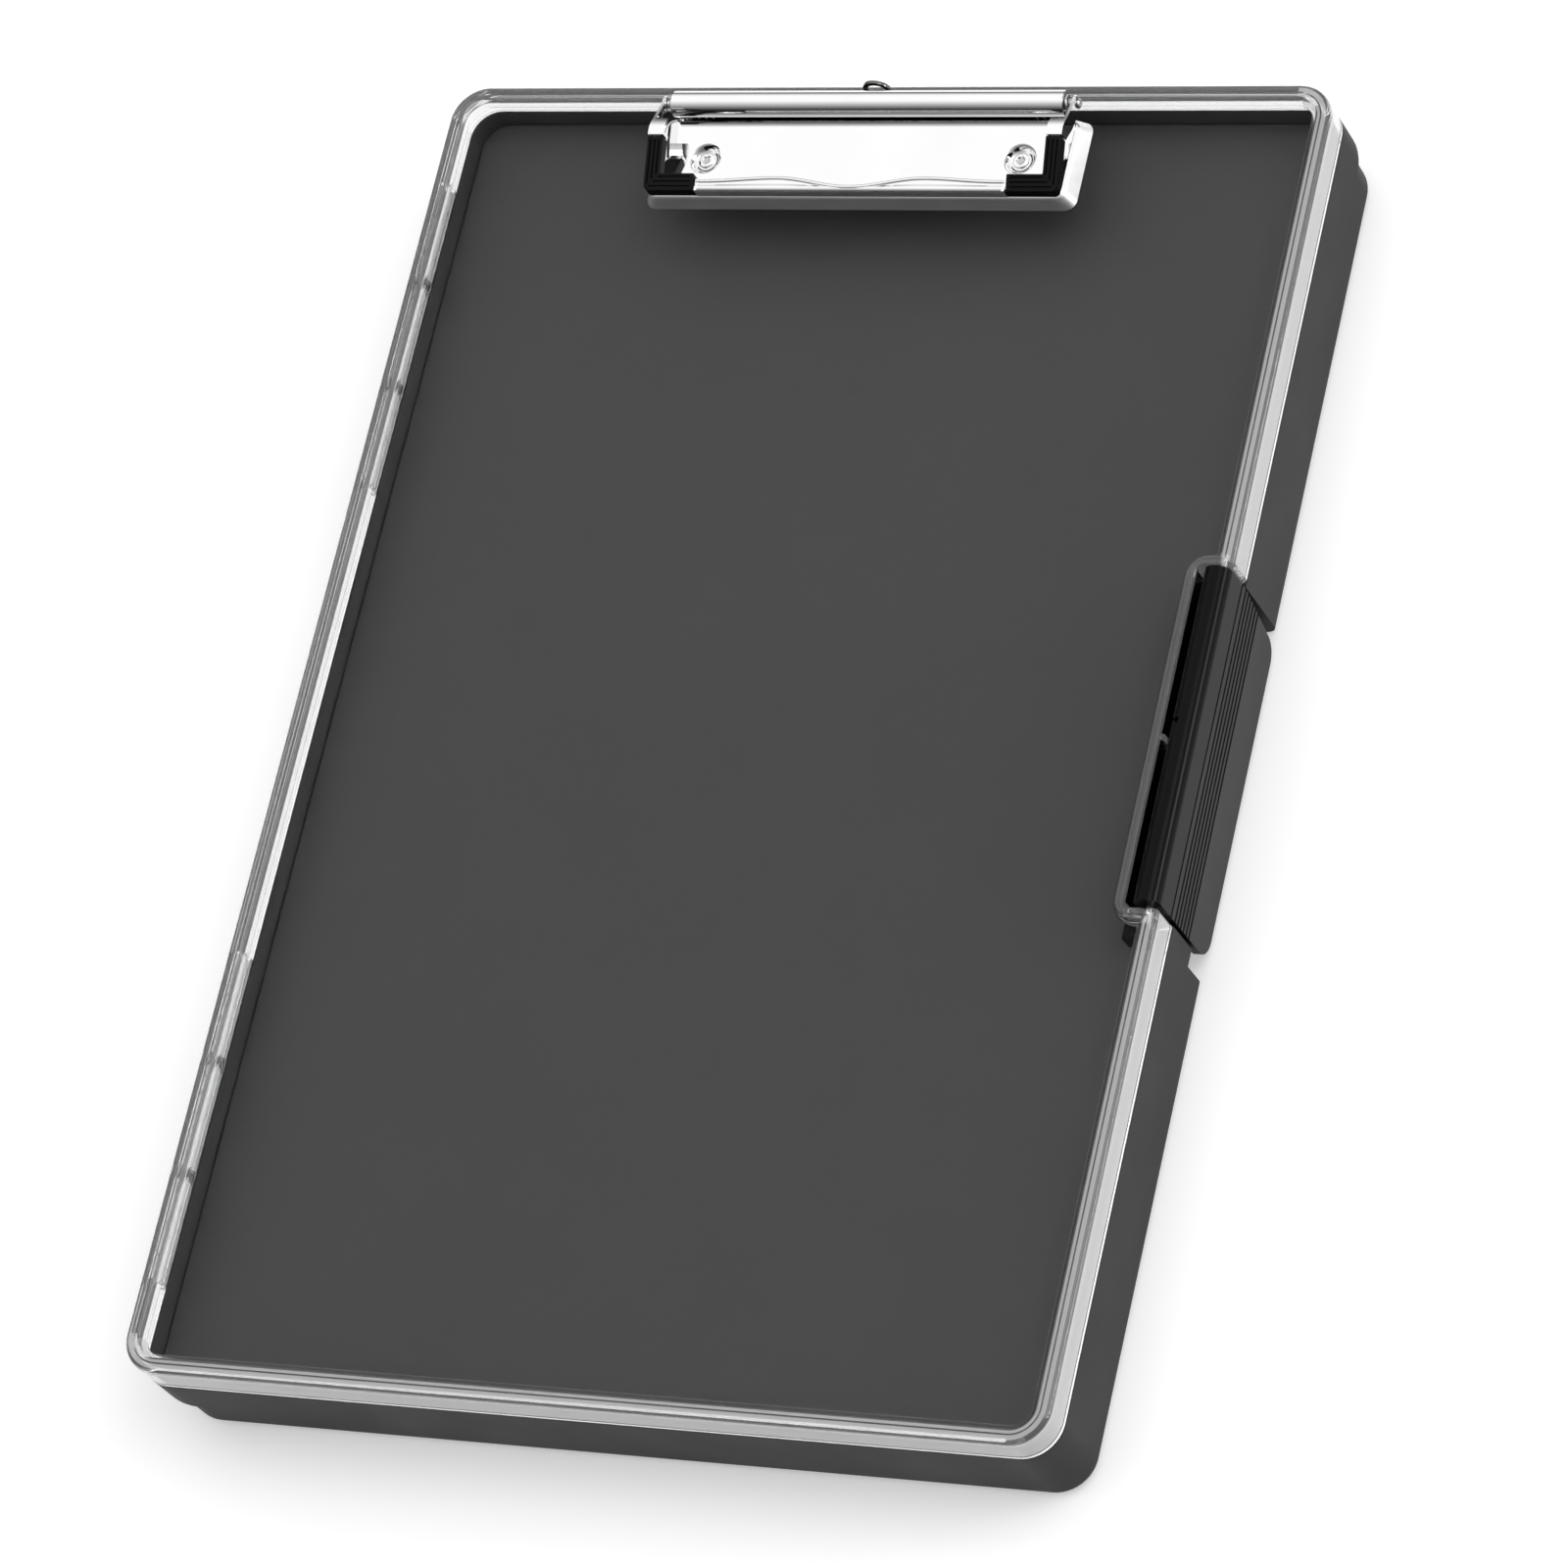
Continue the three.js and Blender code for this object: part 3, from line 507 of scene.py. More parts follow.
EARS = [(at - EAR_WIDTH / 2, at + EAR_WIDTH / 2) for at in EAR_AT]
KNUCKLES = [
    (HINGE_FROM, EARS[0][0] - KNUCKLE_GAP),
    (EARS[0][1] + KNUCKLE_GAP, EARS[1][0] - KNUCKLE_GAP),
    (EARS[1][1] + KNUCKLE_GAP, HINGE_TO),
]
HINGE_AT = (HINGE_X, 0, HINGE_Z)
LATCH_AT = (LATCH_AXIS_X, 0, LATCH_AXIS_Z)


def clear_for_hinge(obj, spans):
    for y0, y1 in both_sides(spans):
        reach = HINGE_R + KNUCKLE_CLEARANCE
        cut(obj, bore("y", HINGE_AT, reach, y0 - KNUCKLE_GAP, y1 + KNUCKLE_GAP))
    return obj


def add_knuckles(obj, spans, web_z0, web_z1):
    for y0, y1 in both_sides(spans):
        web = block(HINGE_X, -HALF_X + 1.2, y0 + 0.05, y1 - 0.05, web_z0, web_z1)
        join(obj, pin("y", HINGE_AT, HINGE_R, y0, y1, 0.35, 48), web)
    for y0, y1 in both_sides([(HINGE_FROM, HINGE_TO)]):
        cut(obj, bore("y", HINGE_AT, HINGE_BORE_R, y0 - 1, y1 + 1, 32))
    return obj


def base_tray():
    left, right, bottom, top = -HALF_X, HALF_X, -HALF_Y, HALF_Y
    rings = []

    def ring(z, x0, x1, y0, y1, r):
        rings.append([(x, y, z) for x, y in rounded_rect(x0, x1, y0, y1, r)])

    def even_ring(z, x0, x1, y0, y1, inset):
        ring(z, x0 + inset, x1 - inset, y0 + inset, y1 - inset, max(CORNER - inset, 1))

    back = (left + STEP_IN, right, bottom, top - STEP_IN)
    for i in range(9):
        a = math.radians(90 * i / 8)
        even_ring(BACK_ROUND * (1 - math.sin(a)), *back, BACK_ROUND * (1 - math.cos(a)))
    rings.reverse()
    fillet = 0.6
    ring(STEP_Z - fillet, *back, CORNER)
    ring(STEP_Z, left + STEP_IN - fillet, right, bottom, top - STEP_IN + fillet, CORNER)
    for i in range(7):
        a = math.radians(90 * i / 6)
        drawn_in = STEP_ROUND * (1 - math.sin(a))
        rise = STEP_ROUND * (1 - math.cos(a))
        ring(STEP_Z + rise, left + drawn_in, right, bottom, top - drawn_in, CORNER)
    whole = (left, right, bottom, top)
    even_ring(SEAM_Z - 0.4, *whole, 0)
    even_ring(SEAM_Z - 0.1, *whole, 0.12)
    even_ring(SEAM_Z, *whole, 0.4)
    even_ring(SEAM_Z, *whole, WALL - 0.3)
    even_ring(SEAM_Z - 0.3, *whole, WALL)
    even_ring(LEDGE_Z1, *whole, WALL)
    inner = (left + STEP_IN + WALL, right - WALL, bottom + WALL, top - STEP_IN - WALL)
    ledge = (inner[0], inner[1] - LEDGE_WIDTH, inner[2] + LEDGE_WIDTH, inner[3])
    ring(LEDGE_Z1, *ledge, CORNER - WALL)
    ring(LEDGE_Z0, *ledge, CORNER - WALL)
    ring(LEDGE_Z0, *inner, CORNER - WALL)
    ring(WALL + 1.5, *inner, CORNER - WALL)
    even_floor = (inner[0] + 1.5, inner[1] - 1.5, inner[2] + 1.5, inner[3] - 1.5)
    ring(WALL, *even_floor, CORNER - WALL - 1.5)
    tray = loft(rings)

    shelf_x, shelf_top, inside = NOTCH_WALL_X + GAP, SEAM_Z - GAP, right - WALL / 2
    shelf = block(shelf_x, inside, NOTCH_WALL_Y0 + GAP, NOTCH_WALL_Y1 - GAP, DECK_Z1 + GAP, shelf_top)
    core_y = (NOTCH_WALL_Y0 + GAP + WALL, NOTCH_WALL_Y1 - GAP - WALL)
    cut(shelf, block(shelf_x + WALL, FAR, *core_y, 0, shelf_top - WALL))
    pocket_wall = block(POCKET_X - WALL, inside, POCKET_Y0 - WALL, POCKET_Y1 + WALL, STEP_Z, shelf_top)
    recess_wall = block(RECESS_X - WALL, inside, RECESS_Y0 - WALL, RECESS_Y1 + WALL, 1, STEP_Z + WALL)
    join(tray, shelf, pocket_wall, recess_wall)
    pocket = raised(rounded_rect(POCKET_X, POCKET_X + 20, POCKET_Y0, POCKET_Y1, 0.8), STEP_Z - 1, FAR)
    recess = raised(rounded_rect(RECESS_X, RECESS_X + 20, RECESS_Y0, RECESS_Y1, 2), -FAR, STEP_Z)
    cut(tray, pocket, recess)
    clear_for_hinge(tray, KNUCKLES)
    add_knuckles(tray, EARS, HINGE_Z - HINGE_R, SEAM_Z - 0.15)
    for polygon in tray.data.polygons:
        at = polygon.center
        in_notch = at.x > shelf_x and NOTCH_WALL_Y0 < at.y < NOTCH_WALL_Y1 and polygon.normal.z > 0.9
        faces_in = polygon.normal.x * at.x + polygon.normal.y * at.y < -10
        # The shelf top under the lid's notch is painted near-black: painted shade for the deep gap
        # beside the latch barrel.
        if in_notch and abs(at.z - shelf_top) < 0.01:
            polygon.material_index = SHELF_PAINTED_SHADE
        # The inner walls above the ledge take the paler deck colour: painted light on the case's own
        # dark plastic.
        elif faces_in and at.z > LEDGE_Z1 - 1 and abs(at.x) < HALF_X - WALL + 0.1:
            polygon.material_index = INNER_WALL_PAINTED_LIGHT
        else:
            polygon.material_index = CASE_BODY
    return tray


def divider_deck():
    margin, corner, edge = WALL + DECK_EDGE_GAP, DECK_CORNER, DECK_ROUND
    rings = []
    steps = 5
    for z0, sign in ((DECK_Z0 + edge, -1), (DECK_Z1 - edge, 1)):
        for i in range(steps + 1):
            a = math.radians(90 * (steps - i if sign < 0 else i) / steps)
            inset = margin + edge * (1 - math.cos(a))
            z = z0 + sign * edge * math.sin(a)
            outline = rounded_rect(
                -HALF_X + inset, HALF_X - inset, -HALF_Y + inset, HALF_Y - inset, corner
            )
            rings.append([(x, y, z) for x, y in outline])
    deck = loft(rings)
    around = rounded_rect(
        POCKET_X - WALL - GAP, FAR, POCKET_Y0 - WALL - GAP, POCKET_Y1 + WALL + GAP, 1
    )
    return cut(deck, raised(around, 0, FAR))


# ---- clear lid ----------------------------------------------------------------------------------


def on_outline(at, reach):
    """Whether a point is on the case's outer faces or round its corners."""
    core = (HALF_X - CORNER, HALF_Y - CORNER)
    past = [max(abs(at[i]) - core[i], 0) for i in (0, 1)]
    round_corner = min(past) > 0 and math.hypot(*past) > CORNER - 0.1
    return round_corner or any(reach[i] < abs(at[i]) < reach[i] + 0.1 for i in (0, 1))


def clear_lid():
    x_share = (NOTCH_X - NOTCH_WALL_X) / RIM_WIDTH
    low_share = (NOTCH_Y0 - NOTCH_WALL_Y0) / RIM_WIDTH
    high_share = (NOTCH_WALL_Y1 - NOTCH_Y1) / RIM_WIDTH
    edges = [
        ("x", HALF_X, 1, -1, 1.2),
        ("y", NOTCH_Y0, low_share, -1, 1.6),
        ("x", NOTCH_X, x_share, -1, 1.6),
        ("y", NOTCH_Y1, high_share, 1, 1.2),
        ("x", HALF_X, 1, -1, CORNER),
        ("y", HALF_Y, 1, -1, CORNER),
        ("x", -HALF_X, 1, 1, CORNER),
        ("y", -HALF_Y, 1, 1, CORNER),
    ]
    profile = [
        (WALL + 0.5, PANEL_UNDER_Z),
        (WALL + 0.15, PANEL_UNDER_Z - 0.15),
        (WALL, PANEL_UNDER_Z - 0.5),
        (WALL, LID_Z0 + 0.25),
        (WALL - 0.25, LID_Z0),
        (0.25, LID_Z0),
        (0, LID_Z0 + 0.25),
        (0, LID_Z0 + 1.2),
        (0.22, LID_Z0 + 1.4),
        (0, LID_Z0 + 1.6),
    ]
    for i in range(9):
        a = math.radians(90 * i / 8)
        inset = RIM_ROUND * (1 - math.cos(a))
        profile.append((inset, RIM_TOP_Z - RIM_ROUND + RIM_ROUND * math.sin(a)))
    profile += [
        (2.2, RIM_TOP_Z),
        (2.4, RIM_TOP_Z - 0.2),
        (2.6, RIM_TOP_Z),
        (3.3, RIM_TOP_Z),
        (3.65, RIM_TOP_Z - 0.08),
        (3.9, RIM_TOP_Z - 0.28),
        (4.75, PANEL_TOP_Z + 0.35),
        (4.95, PANEL_TOP_Z + 0.12),
        (RIM_WIDTH, PANEL_TOP_Z),
    ]
    rings = []
    for inset, z in profile:
        rings.append([(x, y, z) for x, y in stepped_outline(edges, inset)])
    lid = loft(rings)
    for x in (-RIVET_X, RIVET_X):
        boss_top = DIMPLE_Z - SHEET - GAP
        join(lid, pin("z", (x, RIVET_Y, 0), BOSS_R, PANEL_UNDER_Z + 0.5, boss_top, 0.3))
        cut(lid, bore("z", (x, RIVET_Y, 0), RIVET_HOLE_R, 0, FAR))
    stop_x = (NOTCH_X - STOP_TAB_HALF_X, NOTCH_X + STOP_TAB_HALF_X)
    join(lid, block(*stop_x, *STOP_TAB_Y, *STOP_TAB_Z))
    low, high = LATCH_BORE_PAST
    cut(lid, bore("y", LATCH_AT, LATCH_BORE_R, NOTCH_Y0 - low, NOTCH_Y1 + high, 32))
    clear_for_hinge(lid, EARS)
    add_knuckles(lid, KNUCKLES, LID_Z0, HINGE_Z + HINGE_R)
    skirt_reach = (HALF_X - 0.02, HALF_Y - 0.02)
    for polygon in lid.data.polygons:
        at, facing = polygon.center, polygon.normal
        outer_side = at.x > HALF_X - CORNER or at.y < CORNER - HALF_Y
        near_latch = at.x > NOTCH_WALL_X - 1 and NOTCH_WALL_Y0 - 1 < at.y < NOTCH_WALL_Y1 + 1
        if abs(facing.z) > 0.999 and polygon.area > 2000:
            polygon.material_index = PANEL
        # The rim top and outer walls on the +X and -Y sides take a paler, partly white clear finish:
        # painted light for the bright backdrop seen through the plastic there.
        elif facing.z > 0.98 and at.z > RIM_TOP_Z - 0.05 and outer_side and not near_latch:
            polygon.material_index = SKIRT_PAINTED_LIGHT
        elif abs(facing.z) < 0.2 and on_outline(at, skirt_reach) and outer_side:
            polygon.material_index = SKIRT_PAINTED_LIGHT
        # The notch wall's outward face is painted near-black: painted shade for the gap between it and
        # the latch barrel.
        elif facing.x > 0.9 and abs(at.x - NOTCH_X) < 0.05:
            polygon.material_index = NOTCH_FACE_PAINTED_SHADE
        else:
            polygon.material_index = EDGE
    return lid


# ---- latch --------------------------------------------------------------------------------------


def latch_lever():
    face, inner = LATCH_FACE_X, LATCH_FACE_X - LATCH_THICK
    outline = [(inner, LATCH_Z0), (face, LATCH_Z0)]
    for i in reversed(range(GRIP_COUNT)):
        top = GRIP_TOP - i * GRIP_PITCH
        half = GRIP_WIDTH / 2
        outline += [(face, top - GRIP_WIDTH), (face - GRIP_DEPTH, top - half), (face, top)]
    outline += [
        (face, PARTING_Z - 0.4),
        (face - GRIP_DEPTH, PARTING_Z),
        (face, PARTING_Z + 0.4),
    ]
    outline += arc(face - BARREL_R, BARREL_Z, BARREL_R, 0, 195, 40)
    outline += arc(LATCH_AXIS_X, LATCH_AXIS_Z, HUB_R, 185, 310, 20)
    lever = along_y(outline, LATCH_Y0, LATCH_Y1)
    side = [(LATCH_Y0, FAR)]
    side += arc(LATCH_Y0 + LATCH_CORNER, LATCH_Z0 + LATCH_CORNER, LATCH_CORNER, 180, 270, 14)
    side += arc(LATCH_TIP_Y1 - LATCH_CORNER, LATCH_Z0 + LATCH_CORNER, LATCH_CORNER, 270, 350, 14)
    side += [(LATCH_Y1, SEAM_Z), (LATCH_Y1, FAR)]
    combine(lever, along_x(side, 0, FAR), "INTERSECT")
    ridge_y = (-RIDGE_HALF_Y, RIDGE_HALF_Y)
    join(lever, block(POCKET_X + GAP, face - 1, *ridge_y, RIDGE_Z0, RIDGE_Z1))
    relief_x = LATCH_AXIS_X - STOP_RELIEF_GAP
    cut(lever, block(NOTCH_X, relief_x, *STOP_RELIEF_Y, STOP_RELIEF_Z0, FAR))
    cut(lever, bore("y", LATCH_AT, LATCH_BORE_R, LATCH_Y0 - 1, LATCH_Y1 + 1, 32))
    soften(lever, 0.22, 2, 50)
    for polygon in lever.data.polygons:
        at = polygon.center
        sunk = face - GRIP_DEPTH - 0.05 < at.x < face - 0.1
        # The barrel takes its own near-black colour; the sunk faces of the upper grooves take it too,
        # as painted shade in the creases.
        if at.z > PARTING_Z + 0.1 or (sunk and at.z > GRIP_TOP - GRIP_ZONE):
            polygon.material_index = BARREL
        # The flat faces across the grooved grip are painted darker than the flap: painted shade over
        # the ribbed band.
        elif polygon.normal.x > 0.9 and at.z > GRIP_TOP - GRIP_COUNT * GRIP_PITCH:
            polygon.material_index = GRIP_PAINTED_SHADE
        else:
            polygon.material_index = FLAP
    return lever


# ---- clip ---------------------------------------------------------------------------------------


def clip_plate():
    rings = []

    def ring(share, inset, z):
        foot, top = PLATE_FOOT, PLATE_TOP
        x0, x1, y0, y1 = (a + (b - a) * share for a, b in zip(foot, top))
        outline = rounded_rect(x0 + inset, x1 - inset, y0 + inset, y1 - inset, max(3 - inset, 0.6))
        rings.append([(x, y, z) for x, y in outline])

    rise = PLATE_TOP_Z - PLATE_FOOT_Z
    bend = 0.9
    ring(0, SHEET, PLATE_FOOT_Z)
    ring(0, 0, PLATE_FOOT_Z)
    ring((rise - bend) / rise, 0, PLATE_TOP_Z - bend)
    for i in range(1, 7):
        a = math.radians(90 * i / 6)
        share = (rise - bend + bend * math.sin(a)) / rise
        ring(share, bend * (1 - math.cos(a)), PLATE_TOP_Z - bend + bend * math.sin(a))
    outside = rings
    rings = []
    ring(0, SHEET, PLATE_FOOT_Z)
    ring((rise - bend) / rise, SHEET, PLATE_TOP_Z - bend)
    ring(1, SHEET + 0.3, PLATE_TOP_Z - SHEET)
    plate = loft(list(reversed(rings)) + outside[1:])

    rear = PLATE_TOP[3]
    opening = block(-ROLL_X + 1, ROLL_X - 1, rear - 2.5, FAR, 0, PLATE_TOP_Z - SHEET)
    cut(plate, opening)
    for x in (-RIVET_X, RIVET_X):
        at = (x, RIVET_Y, 0)
        cup = [
            (0, DIMPLE_Z - SHEET),
            (DIMPLE_FLOOR_R + 0.4, DIMPLE_Z - SHEET),
            (DIMPLE_R + 0.4, PLATE_TOP_Z - SHEET),
            (DIMPLE_R + 0.4, PLATE_TOP_Z - 0.2),
            (0, PLATE_TOP_Z - 0.2),
        ]
        join(plate, turned(cup, "z", at))
        hollow = [(0, DIMPLE_Z)]
        for i in range(9):
            s = i / 8
            eased = s * s * (3 - 2 * s)
            r = DIMPLE_FLOOR_R - 0.5 + (DIMPLE_R + 0.5 - DIMPLE_FLOOR_R) * s
            hollow.append((r, DIMPLE_Z + (PLATE_TOP_Z - DIMPLE_Z) * eased))
        hollow += [(DIMPLE_R, PLATE_TOP_Z + 2), (0, PLATE_TOP_Z + 2)]
        cut(plate, turned(hollow, "z", at), bore("z", at, RIVET_HOLE_R, 0, FAR))

    middle = ROLL_R - SHEET / 2
    path = [(rear - 2.2, PLATE_TOP_Z - SHEET / 2), (ROLL_Y - 3, PLATE_TOP_Z - SHEET / 2 - 0.05)]
    path += arc(ROLL_Y, ROLL_Z, middle, 270, 270 + 300, 60)
    left_side, right_side = [], []
    for i, (y, z) in enumerate(path):
        ahead, behind = path[min(i + 1, len(path) - 1)], path[max(i - 1, 0)]
        dy, dz = ahead[0] - behind[0], ahead[1] - behind[1]
        length = math.hypot(dy, dz)
        ny, nz = -dz / length * SHEET / 2, dy / length * SHEET / 2
        left_side.append((y + ny, z + nz))
        right_side.append((y - ny, z - nz))
    roll = along_x(right_side + left_side[::-1], -ROLL_X, ROLL_X)
    join(plate, roll)
    for polygon in plate.data.polygons:
        at, facing = polygon.center, polygon.normal
        sloped = 0.05 < facing.z < 0.7 and at.z < PLATE_TOP_Z - 0.5 and at.y < ROLL_Y - 3.5
        in_dimple = abs(abs(at.x) - RIVET_X) < DIMPLE_R and abs(at.y - RIVET_Y) < DIMPLE_R
        polygon.material_index = DULL if sloped and not in_dimple else BRIGHT
    return plate


def rivet(x):
    tail = PANEL_UNDER_Z - GAP - SHEET - GAP
    head = [
        (0, RIVET_HEAD_Z + 0.35),
        (0.85, RIVET_HEAD_Z + 0.35),
        (0.98, RIVET_HEAD_Z + 0.45),
        (1.15, RIVET_HEAD_Z + 0.85),
        (1.4, RIVET_HEAD_Z + 0.95),
        (1.9, RIVET_HEAD_Z + 0.86),
        (2.3, RIVET_HEAD_Z + 0.58),
        (2.55, RIVET_HEAD_Z + 0.2),
        (2.6, RIVET_HEAD_Z),
        (RIVET_SHANK_R, RIVET_HEAD_Z),
        (RIVET_SHANK_R, tail),
        (2.3, tail),
        (2.25, tail - 0.4),
        (1.9, tail - 0.75),
        (0, tail - 0.9),
    ]
    stud = turned(head, "z", (x, RIVET_Y, 0))
    for polygon in stud.data.polygons:
        at = polygon.center
        in_bore = at.z > RIVET_HEAD_Z and math.hypot(at.x - x, at.y - RIVET_Y) < 0.95
        polygon.material_index = DULL if in_bore else BRIGHT
    return stud


def washer(x):
    top = PANEL_UNDER_Z - GAP
    disc = pin("z", (x, RIVET_Y, 0), WASHER_R, top - SHEET, top, 0.15)
    return cut(disc, bore("z", (x, RIVET_Y, 0), RIVET_HOLE_R, 0, FAR))


def coil(outer_x, inner_x):
    steps = COIL_TURNS * 20
    path = []
    for i in range(steps + 1):
        t = i / steps
        a = 2 * math.pi * COIL_TURNS * t
        x = inner_x + (outer_x - inner_x) * t
        path.append((x, ROLL_Y + COIL_R * math.cos(a), ROLL_Z + COIL_R * math.sin(a)))
    return wire(path, COIL_WIRE_R)


def jaw_height(y):
    return JAW_FRONT_Z + (y - JAW_FRONT_Y) * JAW_SLOPE


def lean(obj):
    """Pieces of the jaw are drawn flat, top at zero, then leaned up towards the rear."""
    for vertex in obj.data.vertices:
        vertex.co.z += jaw_height(vertex.co.y)
    return obj


def corner_l(margin, width, rear_y, inner_x, r, steps=8):
    outer_x, front_y = JAW_X - margin, JAW_FRONT_Y + margin
    outline = [(inner_x, front_y)]
    outline += arc(outer_x - r, front_y + r, r, 270, 360, steps)
    outline += [(outer_x, rear_y), (outer_x - width, rear_y)]
    outline += [(outer_x - width, front_y + width), (inner_x, front_y + width)]
    return outline


def corner_pad():
    pad = raised(corner_l(0, PAD_WIDTH, PAD_REAR_Y, PAD_INNER_X, 1.5), -JAW_DEPTH, 0)
    cut(pad, raised(corner_l(0.6, 2.9, PAD_REAR_Y + 1, PAD_INNER_X - 1, 0.3), -2.3, -0.5))
    soften(pad, 0.25, 2, 50)
    for i in range(3):
        along = 1 + i * 1.15
        x, y = JAW_X - along, JAW_FRONT_Y + along
        cut(pad, block(x - 0.25, x + 0.25, y + 0.6, PAD_REAR_Y - 1, -0.45, 1))
        cut(pad, block(PAD_INNER_X + 1, x - 0.6, y - 0.25, y + 0.25, -0.45, 1))
    return lean(pad)


def wave_y(x):
    reach = abs(x) / WAVE_CREST_X
    if reach < 1:
        return WAVE_TROUGH_Y + (WAVE_CREST_Y - WAVE_TROUGH_Y) * (1 - math.cos(math.pi * reach)) / 2
    fall = min(reach - 1, 1)
    return WAVE_END_Y + (WAVE_CREST_Y - WAVE_END_Y) * (1 + math.cos(math.pi * fall)) / 2


def clip_jaw():
    bar_x = PAD_INNER_X - GAP
    bend = 1.2
    sections = []
    for i in range(97):
        x = -bar_x + 2 * bar_x * i / 96
        rear = wave_y(x)
        front, top = JAW_FRONT_Y, JAW_FRONT_Z
        outer = [(front, top - JAW_DEPTH)]
        outer += arc(front + bend, top - bend, bend, 180, 90, 6)
        hollow = [(0.2, 0.12), (0.4, 0.26), (0.6, 0.3), (0.8, 0.2)]
        dip = [(front + bend + (rear - 0.3 - front - bend) * t, top - drop) for t, drop in hollow]
        outer += dip + [(rear - 0.3, top), (rear, top - 0.1)]
        inside = [(rear, top - SHEET + 0.2), (rear - 0.3, top - SHEET + 0.05)]
        inside += [(y, z - SHEET) for y, z in reversed(dip)]
        inside += arc(front + bend, top - bend, bend - SHEET, 90, 180, 6)
        inside += [(front + SHEET, top - JAW_DEPTH)]
        sections.append([(x, y, z) for y, z in outer + inside])
    bar = loft(sections)
    lip_x = [-bar_x + 0.2 + (2 * bar_x - 0.4) * i / 96 for i in range(97)]
    join(bar, wire([(x, wave_y(x) - 0.15, JAW_FRONT_Z - 0.3) for x in lip_x], 0.5, 14))

    arm_front = PAD_REAR_Y + GAP
    rear_top = jaw_height(PAD_REAR_Y) + 0.4
    crown = [
        (arm_front, jaw_height(arm_front)),
        (155.8, rear_top - 0.05),
        (ARM_PEAK_Y, rear_top + 0.05),
        (158.6, rear_top - 0.25),
        (ARM_REAR_Y, rear_top - 1),
    ]
    top_sheet = crown + [(y, z - SHEET) for y, z in reversed(crown)]
    flange = [(arm_front, jaw_height(arm_front) - JAW_DEPTH), (ARM_REAR_Y - 1, 39.4)]
    flange += arc(ROLL_Y, ROLL_Z, EAR_R, 235, 430, 26)
    flange += [(ROLL_Y - 1.5, ROLL_Z + EAR_R + 0.3)] + crown[::-1]
    side = along_x(flange, JAW_X - SHEET, JAW_X)
    join(side, along_x(top_sheet, JAW_X - PAD_WIDTH, JAW_X - 0.02))
    tongue = raised(corner_l(0.9, 2.3, arm_front + SHEET, bar_x - SHEET, 0.3), -2, -0.8)
    join(side, lean(tongue))
    web_top = jaw_height(arm_front)
    web_z = (web_top - 2.8, web_top - 0.05)
    join(side, block(JAW_X - PAD_WIDTH, JAW_X - 0.1, arm_front, arm_front + SHEET, *web_z))
    end_y, end_z = (JAW_FRONT_Y + 0.1, 144.7), (JAW_FRONT_Z - 2.8, JAW_FRONT_Z - 0.1)
    join(side, block(bar_x - SHEET, bar_x - 0.02, *end_y, *end_z))
    soften(side, 0.15, 2, 50)
    join(bar, mirror_x(copy_of(side)), side)
    return cut(bar, bore("x", (0, ROLL_Y, ROLL_Z), ROD_R + 0.25, -FAR, FAR, 32))


# ---- hanger -------------------------------------------------------------------------------------


def hang_tab():
    bend = 1.3
    lip_y = TAB_LIP_Y
    outer = [(TAB_FRONT_Y, TAB_Z)]
    outer += arc(lip_y - bend, TAB_Z + bend, bend, 270, 360, 8)
    outer += [(lip_y, TAB_TOP_Z), (lip_y - SHEET, TAB_TOP_Z)]
    outer += arc(lip_y - bend, TAB_Z + bend, bend - SHEET, 360, 270, 8)
    outer += [(TAB_FRONT_Y, TAB_Z + SHEET)]
    tab = along_x(outer, -TAB_X, TAB_X)
    waist = TAB_TOP_Z - TAB_ARCH_R
    arch = [(-TAB_X, 0), (TAB_X, 0), (TAB_X, TAB_Z + 0.9), (TAB_X - 0.8, TAB_Z + 1.5)]
    arch += arc(0, waist, TAB_ARCH_R, 0, 180, 28)
    arch += [(-TAB_X + 0.8, TAB_Z + 1.5), (-TAB_X, TAB_Z + 0.9)]
    combine(tab, along_y(arch, TAB_FRONT_Y - 1, TAB_LIP_Y + 1), "INTERSECT")
    cut(tab, bore("z", (0, TAB_HOLE_Y, 0), TAB_HOLE_R, 0, TAB_Z + 2))
    cut(tab, bore("y", (0, 0, waist), TAB_WINDOW_R, TAB_LIP_Y - 3, FAR))
    return soften(tab, 0.15, 2, 50)


def hang_tab_guide():
    z0, z1 = PLATE_FOOT_Z, TAB_Z + SHEET + GAP + 0.5
    outline = [
        (-GUIDE_X, z0),
        (GUIDE_X, z0),
        (GUIDE_X, z1),
        (GUIDE_LIP_X, z1),
        (GUIDE_LIP_X, z1 - 0.5),
        (GUIDE_X - SHEET, z1 - 0.5),
        (GUIDE_X - SHEET, z0 + SHEET),
        (-GUIDE_X + SHEET, z0 + SHEET),
        (-GUIDE_X + SHEET, z1 - 0.5),
        (-GUIDE_LIP_X, z1 - 0.5),
        (-GUIDE_LIP_X, z1),
        (-GUIDE_X, z1),
    ]
    return soften(along_y(outline, GUIDE_Y0, GUIDE_Y1), 0.12, 2, 50)


# ---- putting it together ------------------------------------------------------------------------

tray_finishes = [case_finish, barrel_and_painted_shade_finish, deck_and_painted_light_finish]
lid_finishes = [edge_finish, panel_finish, skirt_painted_light_finish, barrel_and_painted_shade_finish]
latch_finishes = [barrel_and_painted_shade_finish, flap_finish, grip_painted_shade_finish]

